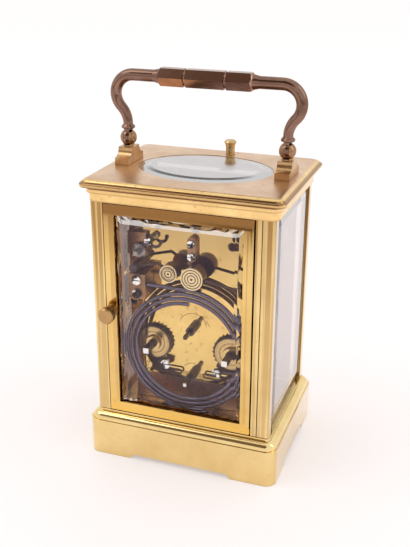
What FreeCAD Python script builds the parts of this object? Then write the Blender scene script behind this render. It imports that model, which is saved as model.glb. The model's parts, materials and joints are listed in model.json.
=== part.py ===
import FreeCAD, Part
import math
import os

# A brass carriage clock with a folding handle, bevelled glasses and a striking movement.
# Millimetres, +Z up. The dial looks along -Y and the glazed door along +Y. Left and right are as
# seen from the door, so left is +X. Pieces are made about the middle of the plinth, and go out
# about the middle of the whole footprint, knob included.

vec = FreeCAD.Vector
along_x = vec(1, 0, 0)
along_y = vec(0, 1, 0)
along_z = vec(0, 0, 1)

# Fits
running_gap = 0.05
seat_gap = 0.1
swing_gap = 0.3
fillet_margin = 0.03
cut_margin = 1.0
arc_steps = 24

# Plinth
plinth_width = 80.0
plinth_depth = 63.4
plinth_corner = 4.5
plinth_face = 15.6
plinth_step = 0.5
plinth_roll = 3.0
plinth_ledge = 0.9
plinth_wall = 6.0
plinth_floor = 4.0
foot_height = 2.0
foot_slope = 1.5
front_foot = 18.3
side_foot = 15.6

# Pillars and the post beside the door
pillar_length = 89.7
pillar_inset = 3.7
pillar_width = 5.0
pillar_depth = 3.6
post_width = 2.4
post_gap = 0.15

# Glasses
glass_thickness = 2.0
glass_setback = 0.8
groove_depth = 1.4
bevel_width = 4.6
bevel_depth = 0.8

# Cornice, from its fascia to its flat top
fascia_overhang = 0.9
fascia_height = 3.4
band_overhang = 0.8
band_height = 1.5
neck_height = 0.6
bead_overhang = 2.8
bead_height = 1.9
crown_inset = 0.75
crown_slope = 3.0
crown_height = 1.4
crown_steps = 4
crown_corner_share = 0.6
cornice_corner = 3.2
cornice_wall = 3.4
cornice_plate = 3.9
oval_length = 53.6
oval_depth = 40.0
oval_glass_thickness = 3.0
oval_glass_rise = 0.7
oval_lip = 1.5

# Door
door_thickness = 3.5
door_member = 4.2
door_gap = 0.2
door_foot_gap = 0.3
door_head_gap = 0.6
door_hinge_inset = 1.1
door_pin_radius = 0.7
door_pin_length = 1.6
door_glass_overlap = 1.2
knob_rise = 0.5
knob_base_radius = 2.5
knob_base_length = 0.6
knob_neck_radius = 2.1
knob_neck_length = 2.6
knob_head_radius = 3.3
knob_head_length = 3.4
knob_edge = 0.5

# Handle
handle_inset = 3.95
handle_swell = 7.1
tube_radius = 2.35
tube_foot_radius = 1.85
pivot_height = 9.6
grip_height = 34.1
shoulder_height = 26.7
knuckle_radius = 3.3
knuckle_neck_radius = 2.0
tongue_thickness = 2.0
handle_pin_radius = 0.8
collar_radius = 2.7
collar_edge = 0.3
collar_rim = 0.9
collar_height = 1.8
grip_length = 37.2
grip_across = 6.7
grip_chamfer = 0.9
grip_groove = 0.35
grip_groove_width = 0.9
grip_groove_place = 8.0
ferrule_radius = 2.9
ferrule_length = 2.4
block_width = 5.8
block_length = 14.6
block_step = 2.7
block_shoulder = 0.5
block_top = 7.0

# Repeat button and its lever
button_x = -2.4
button_inset = 4.1
button_neck_radius = 1.85
button_waist_radius = 2.1
button_top_radius = 2.6
button_height = 6.0
button_neck_height = 2.6
button_crown = 0.8
button_stem = 5.8
button_pin_radius = 0.7
button_travel = 1.5
lever_width = 3.0
lever_thickness = 1.2
lever_front = 4.1
lever_nose = 1.0
lever_back = 5.0
lever_pin_radius = 0.7

# Movement plates and seat
plate_width = 54.0
plate_height = 69.0
plate_thickness = 2.0
plate_space = 24.0
back_plate_face = 13.0
seat_height = 12.3
seat_wall = 2.5
seat_inset = 1.0
spacer_radius = 2.0
nut_radius = 1.9
nut_height = 1.0
top_spacer_x = 24.0
top_spacer_drop = 4.0
side_spacer_x = 25.0
side_spacer_rise = 32.5
low_spacer_rise = 10.0
oil_hole_radius = 1.3
oil_hole_x = -17.0
oil_hole_rise = 63.4
oil_hole_drop = 3.2

# Wheel work
module = 0.6
pressure = math.radians(25.0)
addendum = 0.85
dedendum = 1.15
backlash = 0.12
wheel_thickness = 1.5
wheel_gap = 0.4
train_gap = 1.0
wheel_arms = 4
pinion_margin = 0.4
arbor_radius = 0.9
rim_width = 1.8
hub_radius = 3.0
spoke_width = 1.6
barrel_spread = 16.5
barrel_rise = 15.5
barrel_radius = 12.8
barrel_length = 13.0
barrel_back_gap = 2.0
great_teeth = 48
second_pinion = 9
second_teeth = 30
centre_pinion = 10
centre_teeth = 34
third_pinion = 8
train_lean = 0.42
contrate_radius = 7.6
contrate_rim = 2.4
pin_teeth = 30
fly_pinion = 8
fly_radius = 5.0
fly_length = 9.0
fly_thickness = 0.8
lift_pins = 10
lift_pin_radius = 0.5
lift_pin_length = 1.4

# Winding, with ratchets on the back plate
ratchet_radius = 7.8
ratchet_teeth = 26
ratchet_depth = 1.0
ratchet_lead = 0.1
ratchet_thickness = 1.7
ratchet_lift = 0.4
ratchet_hub_radius = 3.0
ratchet_hub_height = 1.3
winder_radius = 1.6
winder_square = 2.3
winder_reach = 10.6
winder_square_length = 6.5
click_side = 5.4
click_drop = 8.7
click_width = 1.9
click_hub_radius = 1.45
click_nose_gap = 0.2
click_screw_radius = 2.0
click_screw_head = 1.2
click_spring_radius = 0.35
click_spring_drop = 2.5
click_spring_bend = 0.9

# Setting arbors and hands
set_rise = 23.7
hand_rise = 36.0
set_teeth = 20
set_reach = 10.0
set_square = 1.4
set_square_length = 5.0
set_collar_radius = 1.9
set_collar_length = 4.0
alarm_rise = 2.9
alarm_reach = 10.4
dial_space = 5.0
dial_thickness = 1.0
dial_margin = 0.6
dial_foot_radius = 1.2
dial_foot_x = 22.0
hand_gap = 0.7
hand_thickness = 0.4
minute_length = 17.5
hour_length = 11.5
alarm_hand_length = 5.0
hand_width = 1.5
hand_swell = 1.2
hand_widest = 0.62
hour_pipe_radius = 2.2
minute_pipe_radius = 1.4
hour_wheel_radius = 5.6

# Gong, its block and the hammers
gong_x = 0.9
gong_rise = 17.0
gong_radius = 26.0
gong_pitch = 2.0
gong_wire = 1.65
gong_half_turns = 6
gong_stand = 7.0
gong_block_width = 7.1
gong_block_height = 10.5
gong_block_x = 16.9
gong_block_above = 4.4
gong_block_depth = 8.6
screw_radius = 1.9
screw_head = 0.9
screw_slot = 0.5
gong_screw_spread = 2.9
strike_head_radius = 4.5
strike_head_x = -2.6
strike_rest_gap = 0.6
alarm_head_radius = 3.5
alarm_head_x = 6.9
alarm_rest_gap = 2.3
head_length = 5.2
head_groove = 0.35
head_rings = (0.32, 0.56, 0.8)
head_dimple = 0.5
hammer_arm_radius = 0.6
hammer_hub_radius = 1.7
hammer_hub_length = 3.0
hammer_post_radius = 1.0
strike_pivot_x = -23.6
strike_pivot_drop = 3.6
alarm_pivot_x = 21.8
alarm_pivot_above = 0.3
alarm_bend_x = 12.0
alarm_bend_above = 2.9
cock_width = 3.6
cock_height = 11.6
cock_thickness = 2.4
cock_rise = 51.4
cock_screw_radius = 1.5
cock_screw_inset = 2.7
cock_screw_spread = 5.2

# Alarm winding on its bridge
bridge_width = 4.6
bridge_height = 9.4
bridge_rise = 53.0
bridge_thickness = 2.0
alarm_winder_x = 21.3
alarm_winder_rise = 55.4
alarm_ratchet_radius = 3.1
alarm_ratchet_teeth = 16
alarm_ratchet_depth = 0.6
alarm_winder_reach = 7.6
alarm_square = 1.8
alarm_click_side = 4.2
alarm_click_above = 4.6
alarm_click_hub = 1.5
alarm_tail_radius = 2.4
alarm_tail_wire = 0.6
alarm_tail_knob = 0.85

# Platform escapement
platform_width = 32.0
platform_thickness = 1.6
balance_radius = 7.0
balance_rim = 1.1
balance_rise = 2.2
balance_thickness = 0.9
balance_staff_radius = 0.45
balance_y = 3.0
cock_plate_rise = 4.6
cock_plate_thickness = 1.3
cock_plate_width = 4.0
hairspring_wire = 0.25
hairspring_pitch = 0.8
hairspring_radius = 4.4
hairspring_half_turns = 7
hairspring_gap = 0.5
escape_radius = 3.2
escape_teeth = 15
escape_depth = 0.9
escape_lead = 0.35
escape_gap = 1.6
escape_arbor_length = 4.5

# Heights and half sizes that follow
half_x = plinth_width / 2
half_y = plinth_depth / 2
plinth_top = plinth_face + plinth_roll + plinth_ledge
cornice_base = plinth_top + pillar_length
fascia_top = cornice_base + fascia_height
band_top = fascia_top + band_height
neck_top = band_top + neck_height
bead_top = neck_top + bead_height
top_z = bead_top + crown_height
pillar_out_x = half_x - pillar_inset
pillar_out_y = half_y - pillar_inset
pillar_in_x = pillar_out_x - pillar_width
pillar_in_y = pillar_out_y - pillar_depth
fascia_x = pillar_out_x + fascia_overhang
fascia_y = pillar_out_y + fascia_overhang
bead_x = fascia_x + bead_overhang
bead_y = fascia_y + bead_overhang
crown_x = bead_x - crown_inset
crown_y = bead_y - crown_inset
cavity_x = fascia_x - cornice_wall
cavity_y = fascia_y - cornice_wall
cavity_top = top_z - cornice_plate
oval_glass_top = top_z + oval_glass_rise
oval_ledge = oval_glass_top - oval_glass_thickness

door_outer = pillar_out_y
door_inner = door_outer - door_thickness
door_left = pillar_in_x - door_gap
post_outer = -pillar_in_x + post_gap
post_inner = post_outer + post_width
door_right = post_inner + door_gap
door_bottom = plinth_top + door_foot_gap
door_top = cornice_base - door_head_gap
door_axis_x = door_right + door_hinge_inset
door_axis_y = door_outer - door_hinge_inset
door_glass_back = door_inner + (door_thickness - glass_thickness) / 2
knob_length = knob_base_length + knob_neck_length + knob_head_length
footprint_shift = (half_y - door_outer - knob_length) / 2

handle_spread = crown_x - crown_slope - handle_inset
handle_reach = handle_spread + handle_swell
pivot_z = top_z + pivot_height
grip_z = top_z + grip_height
shoulder_z = top_z + shoulder_height
collar_base = pivot_z + knuckle_radius + swing_gap
block_top_z = pivot_z - knuckle_radius
button_y = -(crown_y - crown_slope) + button_inset

plate_base = plinth_top + seat_height
plate_top = plate_base + plate_height
back_inner = back_plate_face - plate_thickness
front_inner = back_inner - plate_space
front_face = front_inner - plate_thickness
dial_back = front_face - dial_space
dial_front = dial_back - dial_thickness
barrel_z = plate_base + barrel_rise
set_z = plate_base + set_rise
hand_z = plate_base + hand_rise
alarm_z = plate_base + alarm_rise
barrel_back = back_inner - barrel_back_gap
barrel_front = barrel_back - barrel_length
great_front = barrel_front - wheel_thickness
gong_y = back_plate_face + gong_stand
gong_z = plate_base + gong_rise
gong_top = gong_z + gong_radius
ratchet_y = back_plate_face + ratchet_lift
ratchet_face = ratchet_y + ratchet_thickness


def box(x0, x1, y0, y1, z0, z1):
    return Part.makeBox(x1 - x0, y1 - y0, z1 - z0, vec(x0, y0, z0))


def rod_y(x, z, radius, y0, y1):
    return Part.makeCylinder(radius, y1 - y0, vec(x, y0, z), along_y)


def rod_z(x, y, radius, z0, z1):
    return Part.makeCylinder(radius, z1 - z0, vec(x, y, z0), along_z)


def rod_x(y, z, radius, x0, x1):
    return Part.makeCylinder(radius, x1 - x0, vec(x0, y, z), along_x)


def rod_between(start, end, radius):
    run = end - start
    return Part.makeCylinder(radius, run.Length, start, run)


def joined(shapes):
    return shapes[0].multiFuse(shapes[1:]).removeSplitter()


def slab(size_x, size_y, radius, z0, z1):
    # An upright block with half sizes size_x and size_y and rounded upright corners.
    block = box(-size_x, size_x, -size_y, size_y, z0, z1)
    upright = [e for e in block.Edges if abs(e.Vertexes[0].Z - e.Vertexes[1].Z) > 1e-6]
    return block.makeFillet(radius, upright)


def edges_at(shape, z):
    return [e for e in shape.Edges if all(abs(v.Z - z) < 1e-6 for v in e.Vertexes)]


def outline(size_x, size_y, radius, z):
    return Part.Wire(edges_at(slab(size_x, size_y, radius, z, z + cut_margin), z))


def polygon_xz(points, y0, y1):
    corners = [vec(x, y0, z) for x, z in points]
    return Part.Face(Part.makePolygon(corners + corners[:1])).extrude(vec(0, y1 - y0, 0))


def turned(profile, origin, axis):
    # A solid turned from (radius, distance) points about an axis through the origin.
    side = along_x if abs(axis.x) < 0.5 else along_z
    corners = [origin + side * radius + axis * place for radius, place in profile]
    face = Part.Face(Part.makePolygon(corners + corners[:1]))
    return face.revolve(origin, axis, 360)


def involute(angle):
    return math.tan(angle) - angle


def toothed(teeth, x, z, phase, y0, y1):
    # A spur wheel with involute flanks, one tooth centred on the phase angle.
    pitch_radius = teeth * module / 2
    base_radius = pitch_radius * math.cos(pressure)
    root_radius = pitch_radius - dedendum * module
    tip_radius = pitch_radius + addendum * module
    half_tooth = math.pi / (2 * teeth) - backlash / (2 * pitch_radius)
    low_radius = max(root_radius, base_radius)
    stations = []
    for radius in (root_radius, low_radius, pitch_radius, tip_radius):
        roll = math.acos(min(1.0, base_radius / radius))
        stations.append((radius, half_tooth + involute(pressure) - involute(roll)))
    if low_radius == root_radius:
        stations.pop(0)
    points = []
    for tooth in range(teeth):
        middle = phase + 2 * math.pi * tooth / teeth
        flank = [(radius, middle - half) for radius, half in stations]
        flank += [(radius, middle + half) for radius, half in reversed(stations)]
        points += [(x + r * math.cos(a), z + r * math.sin(a)) for r, a in flank]
    return polygon_xz(points, y0, y1)


def crossed(wheel, x, z, outer_radius, arms, y0, y1):
    # The same wheel with the space between its arms cut away.
    window = rod_y(x, z, outer_radius - rim_width, y0, y1).cut(rod_y(x, z, hub_radius, y0, y1))
    for arm in range(arms):
        bar = box(x, x + outer_radius, y0, y1, z - spoke_width / 2, z + spoke_width / 2)
        bar.rotate(vec(x, 0, z), along_y, 360.0 * arm / arms)
        window = window.cut(bar)
    return wheel.cut(window)


def ratchet(radius, teeth, depth, x, z, y0, y1):
    points = []
    for tooth in range(teeth):
        lead = 2 * math.pi * tooth / teeth
        back = lead + ratchet_lead * 2 * math.pi / teeth
        points.append((x + radius * math.cos(lead), z + radius * math.sin(lead)))
        points.append((x + (radius - depth) * math.cos(back), z + (radius - depth) * math.sin(back)))
    return polygon_xz(points, y0, y1)


def pitch_size(teeth):
    return teeth * module / 2


def meeting_point(first, first_reach, second, second_reach, side):
    # The point at the two given distances from two points, on the chosen side of their line.
    run_x = second[0] - first[0]
    run_z = second[1] - first[1]
    run = math.hypot(run_x, run_z)
    along = (first_reach**2 - second_reach**2 + run**2) / (2 * run)
    across = side * math.sqrt(first_reach**2 - along**2)
    x = first[0] + (along * run_x - across * run_z) / run
    z = first[1] + (along * run_z + across * run_x) / run
    return x, z


def bearing(start, end):
    return math.atan2(end[1] - start[1], end[0] - start[0])


def facing_phase(towards, teeth):
    # A gap of this wheel faces back along the line of centres.
    return towards + math.pi + math.pi / teeth


def bevelled_pane(size_x, size_z, thickness):
    # A pane lying in XZ about the origin, its bevelled face towards +Y.
    def rectangle(inset, y):
        x = size_x / 2 - inset
        z = size_z / 2 - inset
        corners = [vec(-x, y, -z), vec(x, y, -z), vec(x, y, z), vec(-x, y, z)]
        return Part.makePolygon(corners + corners[:1])
    edge = thickness - bevel_depth
    body = box(-size_x / 2, size_x / 2, 0, edge, -size_z / 2, size_z / 2)
    face = Part.makeLoft([rectangle(0, edge), rectangle(bevel_width, thickness)], True, True)
    return body.fuse(face).removeSplitter()


def spiral_edges(centre, first, second, radius, pitch, half_turns):
    # Half turns about two centres half a pitch apart, each smaller than the one before.
    edges = []
    points = []
    for turn in range(half_turns):
        size = radius - turn * pitch / 2
        sign = 1 if turn % 2 == 0 else -1
        middle = centre - first * (pitch / 2 if turn % 2 else 0.0)
        start = middle + first * (sign * size)
        side = middle + second * (sign * size)
        end = middle - first * (sign * size)
        edges.append(Part.Arc(start, side, end).toShape())
        for step in range(arc_steps):
            angle = math.pi * step / arc_steps
            points.append(middle + first * (sign * size * math.cos(angle))
                          + second * (sign * size * math.sin(angle)))
    return edges, points


def wound_wire(edges, points, wire, name):
    path = Part.Wire(edges)
    begin = edges[0].valueAt(edges[0].FirstParameter)
    heading = edges[0].tangentAt(edges[0].FirstParameter)
    section = Part.Wire(Part.Circle(begin, heading, wire / 2).toShape())
    apart = [(a - b).Length for i, a in enumerate(points) for b in points[i + arc_steps:]]
    print(name, "least gap to itself", round(min(apart) - wire, 3), "mm")
    return path.makePipeShell([section], True, True)


def slotted_screw(x, z, y, radius, head):
    screw = rod_y(x, z, radius, y, y + head)
    slot = box(x - radius, x + radius, y + head / 2, y + head, z - screw_slot / 2, z + screw_slot / 2)
    return screw.cut(slot)


def make_plinth():
    body = slab(half_x, half_y, plinth_corner, 0, plinth_face)
    roll_top = plinth_face + plinth_roll
    roll = slab(half_x - plinth_step, half_y - plinth_step, plinth_corner, plinth_face, roll_top)
    roll = roll.makeFillet(plinth_roll - fillet_margin, edges_at(roll, roll_top))
    ledge_inset = plinth_step + plinth_roll
    ledge = slab(half_x - ledge_inset, half_y - ledge_inset, plinth_corner / 3, roll_top, plinth_top)
    body = joined([body, roll, ledge])
    inside_x = half_x - plinth_wall
    inside_y = half_y - plinth_wall
    body = body.cut(slab(inside_x, inside_y, plinth_corner, -cut_margin, plinth_top - plinth_floor))
    for length, foot, quarter in ((half_x, front_foot, 0), (half_y, side_foot, 90)):
        low = length - foot
        high = low - foot_slope
        gap = polygon_xz([(-low, -cut_margin), (low, -cut_margin), (low, 0), (high, foot_height),
                          (-high, foot_height), (-low, 0)], -half_x - cut_margin, half_x + cut_margin)
        gap.rotate(vec(0, 0, 0), along_z, quarter)
        body = body.cut(gap)
    return body.cut(rod_z(door_axis_x, door_axis_y, door_pin_radius + running_gap,
                          door_bottom - door_pin_length - swing_gap, plinth_top))


def make_pillar(side, end):
    # The glass grooves face the neighbouring pillars.
    x0, x1 = sorted((side * pillar_in_x, side * pillar_out_x))
    y0, y1 = sorted((end * pillar_in_y, end * pillar_out_y))
    pillar = box(x0, x1, y0, y1, plinth_top, cornice_base)
    outer = pillar_out_x - glass_setback
    g0, g1 = sorted((side * (outer - glass_thickness - seat_gap), side * (outer + seat_gap)))
    h0, h1 = sorted((end * (pillar_in_y - cut_margin), end * (pillar_in_y + groove_depth + seat_gap)))
    pillar = pillar.cut(box(g0, g1, h0, h1, plinth_top, cornice_base))
    if end < 0:
        front = -(pillar_out_y - glass_setback)
        f0, f1 = sorted((side * (pillar_in_x - cut_margin), side * (pillar_in_x + groove_depth + seat_gap)))
        pillar = pillar.cut(box(f0, f1, front - seat_gap, front + glass_thickness + seat_gap,
                                plinth_top, cornice_base))
    return pillar


def make_side_glass(side):
    length = 2 * (pillar_in_y + groove_depth)
    height = pillar_length - 2 * seat_gap
    pane = bevelled_pane(length, height, glass_thickness)
    pane.rotate(vec(0, 0, 0), along_z, -90 * side)
    inner = pillar_out_x - glass_setback - glass_thickness
    pane.translate(vec(side * inner, 0, (plinth_top + cornice_base) / 2))
    return pane


def make_front_glass():
    width = 2 * (pillar_in_x + groove_depth)
    pane = bevelled_pane(width, pillar_length - 2 * seat_gap, glass_thickness)
    pane.rotate(vec(0, 0, 0), along_z, 180)
    inner = -(pillar_out_y - glass_setback - glass_thickness)
    pane.translate(vec(0, inner, (plinth_top + cornice_base) / 2))
    return pane


def ellipse_wire(inset, z):
    shape = Part.Ellipse(vec(0, 0, z), oval_length / 2 - inset, oval_depth / 2 - inset).toShape()
    return Part.Wire(shape)


def ellipse_block(inset, z0, z1):
    return Part.Face(ellipse_wire(inset, z0)).extrude(vec(0, 0, z1 - z0))


def make_cornice():
    fascia = slab(fascia_x, fascia_y, cornice_corner, cornice_base, fascia_top)
    band = slab(fascia_x + band_overhang, fascia_y + band_overhang, cornice_corner, fascia_top, band_top)
    neck = slab(fascia_x, fascia_y, cornice_corner, band_top, neck_top)
    bead = slab(bead_x, bead_y, cornice_corner, neck_top, bead_top)
    rims = edges_at(bead, neck_top) + edges_at(bead, bead_top)
    bead = bead.makeFillet(bead_height / 2 - fillet_margin, rims)
    sections = []
    for step in range(crown_steps + 1):
        angle = math.pi / 2 * step / crown_steps
        inset = crown_slope * (1 - math.cos(angle))
        rise = crown_height * math.sin(angle)
        corner = cornice_corner - inset * crown_corner_share
        sections.append(outline(crown_x - inset, crown_y - inset, corner, bead_top + rise))
    crown = Part.makeLoft(sections, True, True)
    body = joined([fascia, band, neck, bead, crown])
    body = body.cut(box(-cavity_x, cavity_x, -cavity_y, cavity_y, cornice_base, cavity_top))
    body = body.cut(ellipse_block(0, oval_ledge, top_z))
    body = body.cut(ellipse_block(oval_lip, cavity_top, oval_ledge))
    stem_low = top_z - button_stem - button_travel - seat_gap
    body = body.cut(rod_z(button_x, button_y, button_neck_radius + running_gap, stem_low, top_z))
    return body.cut(rod_z(door_axis_x, door_axis_y, door_pin_radius + running_gap,
                          cornice_base, door_top + door_pin_length + swing_gap))


def make_top_glass():
    edge = oval_glass_top - bevel_depth
    body = ellipse_block(seat_gap, oval_ledge, edge)
    face = Part.makeLoft([ellipse_wire(seat_gap, edge),
                          ellipse_wire(seat_gap + bevel_width, oval_glass_top)], True, True)
    return body.fuse(face).removeSplitter()


def make_door_frame(pane):
    # Two rails with the stiles between them. The pivot pins stand in the rounded hinge corner.
    plate = box(door_right, door_left, door_inner, door_outer, door_bottom, door_top)
    corner = box(door_right, door_axis_x, door_axis_y, door_outer, door_bottom, door_top)
    edge = rod_z(door_axis_x, door_axis_y, door_hinge_inset, door_bottom, door_top)
    plate = plate.cut(corner).fuse(edge).removeSplitter()
    low = door_bottom + door_member
    high = door_top - door_member
    window = box(door_right + door_member, door_left - door_member, door_inner, door_outer, low, high)
    bars = plate.cut(window).cut(pane)
    far = 2 * half_x
    bottom = bars.common(box(-far, far, -far, far, 0, low))
    top = bars.common(box(-far, far, -far, far, high, top_z))
    stiles = bars.common(box(-far, far, -far, far, low, high))
    foot = rod_z(door_axis_x, door_axis_y, door_pin_radius, door_bottom - door_pin_length, door_bottom)
    head = rod_z(door_axis_x, door_axis_y, door_pin_radius, door_top, door_top + door_pin_length)
    return Part.makeCompound([bottom.fuse(foot).removeSplitter(), top.fuse(head).removeSplitter()]
                             + stiles.Solids)


def door_pane(gap):
    width = door_left - door_right - 2 * door_member + 2 * (door_glass_overlap + gap)
    height = door_top - door_bottom - 2 * door_member + 2 * (door_glass_overlap + gap)
    return width, height


def make_door_glass():
    width, height = door_pane(0)
    pane = bevelled_pane(width, height, glass_thickness)
    pane.translate(vec((door_left + door_right) / 2, door_glass_back, (door_bottom + door_top) / 2))
    return pane


def make_door_rebate():
    width, height = door_pane(seat_gap)
    x = (door_left + door_right) / 2
    z = (door_bottom + door_top) / 2
    return box(x - width / 2, x + width / 2, door_glass_back - seat_gap,
               door_glass_back + glass_thickness + seat_gap, z - height / 2, z + height / 2)


def make_door_knob():
    neck_end = knob_base_length + knob_neck_length
    round_end = knob_length - knob_edge
    profile = [(0, 0), (knob_base_radius, 0), (knob_base_radius, knob_base_length),
               (knob_neck_radius, knob_base_length), (knob_neck_radius, neck_end),
               (knob_head_radius - knob_edge, neck_end), (knob_head_radius, neck_end + knob_edge),
               (knob_head_radius, round_end), (knob_head_radius - knob_edge, knob_length), (0, knob_length)]
    place = vec(door_left - door_member / 2, door_outer, (door_bottom + door_top) / 2 + knob_rise)
    return turned(profile, place, along_y)


def make_handle_block(side):
    # Concave flanks rise from a step to a narrow top that carries the ball's two outer slices.
    half_length = block_length / 2
    half_top = block_top / 2
    step_z = top_z + block_step
    run = half_length - block_shoulder - half_top
    rise = block_top_z - step_z
    sweep = (run**2 + rise**2) / (2 * run)
    turn = math.atan2(run, rise)
    lines = [(-half_length, top_z), (-half_length, step_z), (-half_length + block_shoulder, step_z)]
    middle_y = half_top + sweep * (1 - math.cos(turn))
    middle_z = block_top_z - sweep * math.sin(turn)
    shoulder_y = half_length - block_shoulder
    left = [vec(0, y, z) for y, z in lines]
    edges = [Part.makeLine(left[0], left[1]), Part.makeLine(left[1], left[2])]
    edges.append(Part.Arc(left[2], vec(0, -middle_y, middle_z), vec(0, -half_top, block_top_z)).toShape())
    edges.append(Part.makeLine(vec(0, -half_top, block_top_z), vec(0, half_top, block_top_z)))
    edges.append(Part.Arc(vec(0, half_top, block_top_z), vec(0, middle_y, middle_z),
                          vec(0, shoulder_y, step_z)).toShape())
    edges.append(Part.makeLine(vec(0, shoulder_y, step_z), vec(0, half_length, step_z)))
    edges.append(Part.makeLine(vec(0, half_length, step_z), vec(0, half_length, top_z)))
    edges.append(Part.makeLine(vec(0, half_length, top_z), left[0]))
    block = Part.Face(Part.Wire(edges)).extrude(vec(block_width, 0, 0))
    x = side * handle_spread
    block.translate(vec(x - block_width / 2, 0, 0))
    ball = Part.makeSphere(knuckle_radius, vec(x, 0, pivot_z))
    neck = rod_z(x, 0, knuckle_neck_radius, block_top_z, pivot_z)
    half_slot = tongue_thickness / 2 + seat_gap
    slot = rod_x(0, pivot_z, knuckle_radius + swing_gap, x - half_slot, x + half_slot)
    return joined([block, ball, neck]).cut(slot).cut(handle_pin(side))


def handle_pin(side):
    x = side * handle_spread
    reach = math.sqrt(knuckle_radius**2 - handle_pin_radius**2) - seat_gap
    return rod_x(0, pivot_z, handle_pin_radius, x - reach, x + reach)


def make_handle_arm(side):
    # An S of two arcs from the ball's middle slice out to the shoulder and over to the grip.
    shoulder = grip_z - shoulder_z
    x0 = handle_spread
    z0 = collar_base + collar_height
    centre_x = handle_reach - tube_radius - shoulder
    rise = shoulder_z - z0
    lag = shoulder - (x0 - centre_x)
    reach = (rise**2 + lag**2) / (2 * lag)
    lower = reach - shoulder
    turn = math.asin(rise / reach)
    low_centre = vec(x0 + lower, 0, z0)
    high_centre = vec(centre_x, 0, shoulder_z)

    def on_low(angle):
        return low_centre + vec(-lower * math.cos(angle), 0, lower * math.sin(angle))

    def on_high(angle):
        return high_centre + vec(shoulder * math.cos(angle), 0, shoulder * math.sin(angle))

    start = vec(x0, 0, collar_base)
    grip_end = vec(grip_length / 2, 0, grip_z)
    edges = [Part.makeLine(start, on_low(0))]
    edges.append(Part.Arc(on_low(0), on_low(turn / 2), on_low(turn)).toShape())
    middle = (math.pi / 2 - turn) / 2
    edges.append(Part.Arc(on_low(turn), on_high(middle), on_high(math.pi / 2)).toShape())
    edges.append(Part.makeLine(on_high(math.pi / 2), grip_end))
    waist_radius = (tube_foot_radius + tube_radius) / 2
    waist_run = vec(math.sin(turn), 0, math.cos(turn))
    sections = [Part.Wire(Part.Circle(start, along_z, tube_foot_radius).toShape()),
                Part.Wire(Part.Circle(on_low(turn), waist_run, waist_radius).toShape()),
                Part.Wire(Part.Circle(on_high(math.pi / 2), -along_x, tube_radius).toShape()),
                Part.Wire(Part.Circle(grip_end, -along_x, tube_radius).toShape())]
    tube = Part.Wire(edges).makePipeShell(sections, True, True)
    collar = turned([(0, 0), (collar_radius - collar_edge, 0), (collar_radius, collar_edge),
                     (collar_radius, collar_rim), (tube_foot_radius, collar_height), (0, collar_height)],
                    start, along_z)
    ferrule_start = vec(grip_length / 2, 0, grip_z)
    ferrule = Part.makeCone(ferrule_radius, tube_radius, ferrule_length, ferrule_start, along_x)
    half_tongue = tongue_thickness / 2
    shank = box(x0 - half_tongue, x0 + half_tongue, -tube_radius + swing_gap, tube_radius - swing_gap,
                pivot_z, collar_base)
    middle_slice = rod_x(0, pivot_z, knuckle_radius, x0 - half_tongue, x0 + half_tongue)
    eye = Part.makeSphere(knuckle_radius, vec(x0, 0, pivot_z)).common(middle_slice)
    bore = rod_x(0, pivot_z, handle_pin_radius + running_gap, x0 - half_tongue, x0 + half_tongue)
    tongue = shank.fuse(eye).cut(bore)
    arm = joined([tube, collar, ferrule, tongue])
    return arm if side > 0 else arm.mirror(vec(0, 0, 0), along_x)


def make_handle_grip():
    # A six-sided bar with chamfered ends and two grooves round it.
    circle = grip_across / math.sqrt(3)
    corners = []
    for corner in range(6):
        angle = math.pi / 3 * corner
        corners.append(vec(-grip_length / 2, circle * math.cos(angle), grip_z + circle * math.sin(angle)))
    bar = Part.Face(Part.makePolygon(corners + corners[:1])).extrude(vec(grip_length, 0, 0))
    half_length = grip_length / 2
    end_radius = circle - grip_chamfer
    nut = turned([(0, -half_length), (end_radius, -half_length), (circle, grip_chamfer - half_length),
                  (circle, half_length - grip_chamfer), (end_radius, half_length), (0, half_length)],
                 vec(0, 0, grip_z), along_x)
    bar = bar.common(nut)
    floor_radius = grip_across / 2 - grip_groove
    half_floor = grip_groove_width / 4
    mouth = circle + cut_margin
    for place in (-grip_groove_place, grip_groove_place):
        ring = turned([(floor_radius, place - half_floor), (mouth, place - grip_groove_width),
                       (mouth, place + grip_groove_width), (floor_radius, place + half_floor)],
                      vec(0, 0, grip_z), along_x)
        bar = bar.cut(ring)
    return bar


def make_repeat_button():
    flare = (button_neck_height + button_height) / 2
    profile = [(0, -button_stem), (button_pin_radius, -button_stem), (button_pin_radius, -cornice_plate),
               (button_neck_radius, -cornice_plate), (button_neck_radius, button_neck_height),
               (button_waist_radius, flare),
               (button_top_radius, button_height - button_crown),
               (button_top_radius - button_crown, button_height), (0, button_height)]
    return turned(profile, vec(button_x, button_y, top_z), along_z)


def lever_place():
    top = top_z - button_stem - seat_gap
    return button_y + lever_front, top - lever_thickness / 2


def make_repeat_lever():
    y, z = lever_place()
    bar = box(button_x - lever_width / 2, button_x + lever_width / 2, button_y - lever_nose,
              y + lever_back, z - lever_thickness / 2, z + lever_thickness / 2)
    eye = rod_x(y, z, lever_thickness, button_x - lever_width / 2, button_x + lever_width / 2)
    bore = rod_x(y, z, lever_pin_radius + running_gap, button_x - lever_width, button_x + lever_width)
    return bar.fuse(eye).cut(bore)


def make_lever_bracket():
    # Two cheeks under the cornice plate with the lever's pin between them.
    y, z = lever_place()
    near = lever_width / 2 + seat_gap
    far = near + lever_thickness
    cheeks = []
    for side in (-1, 1):
        x0, x1 = sorted((button_x + side * near, button_x + side * far))
        cheeks.append(box(x0, x1, y - lever_thickness, y + lever_thickness, z - lever_thickness, cavity_top))
    pin = rod_x(y, z, lever_pin_radius, button_x - far, button_x + far)
    return joined(cheeks + [pin])


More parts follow.
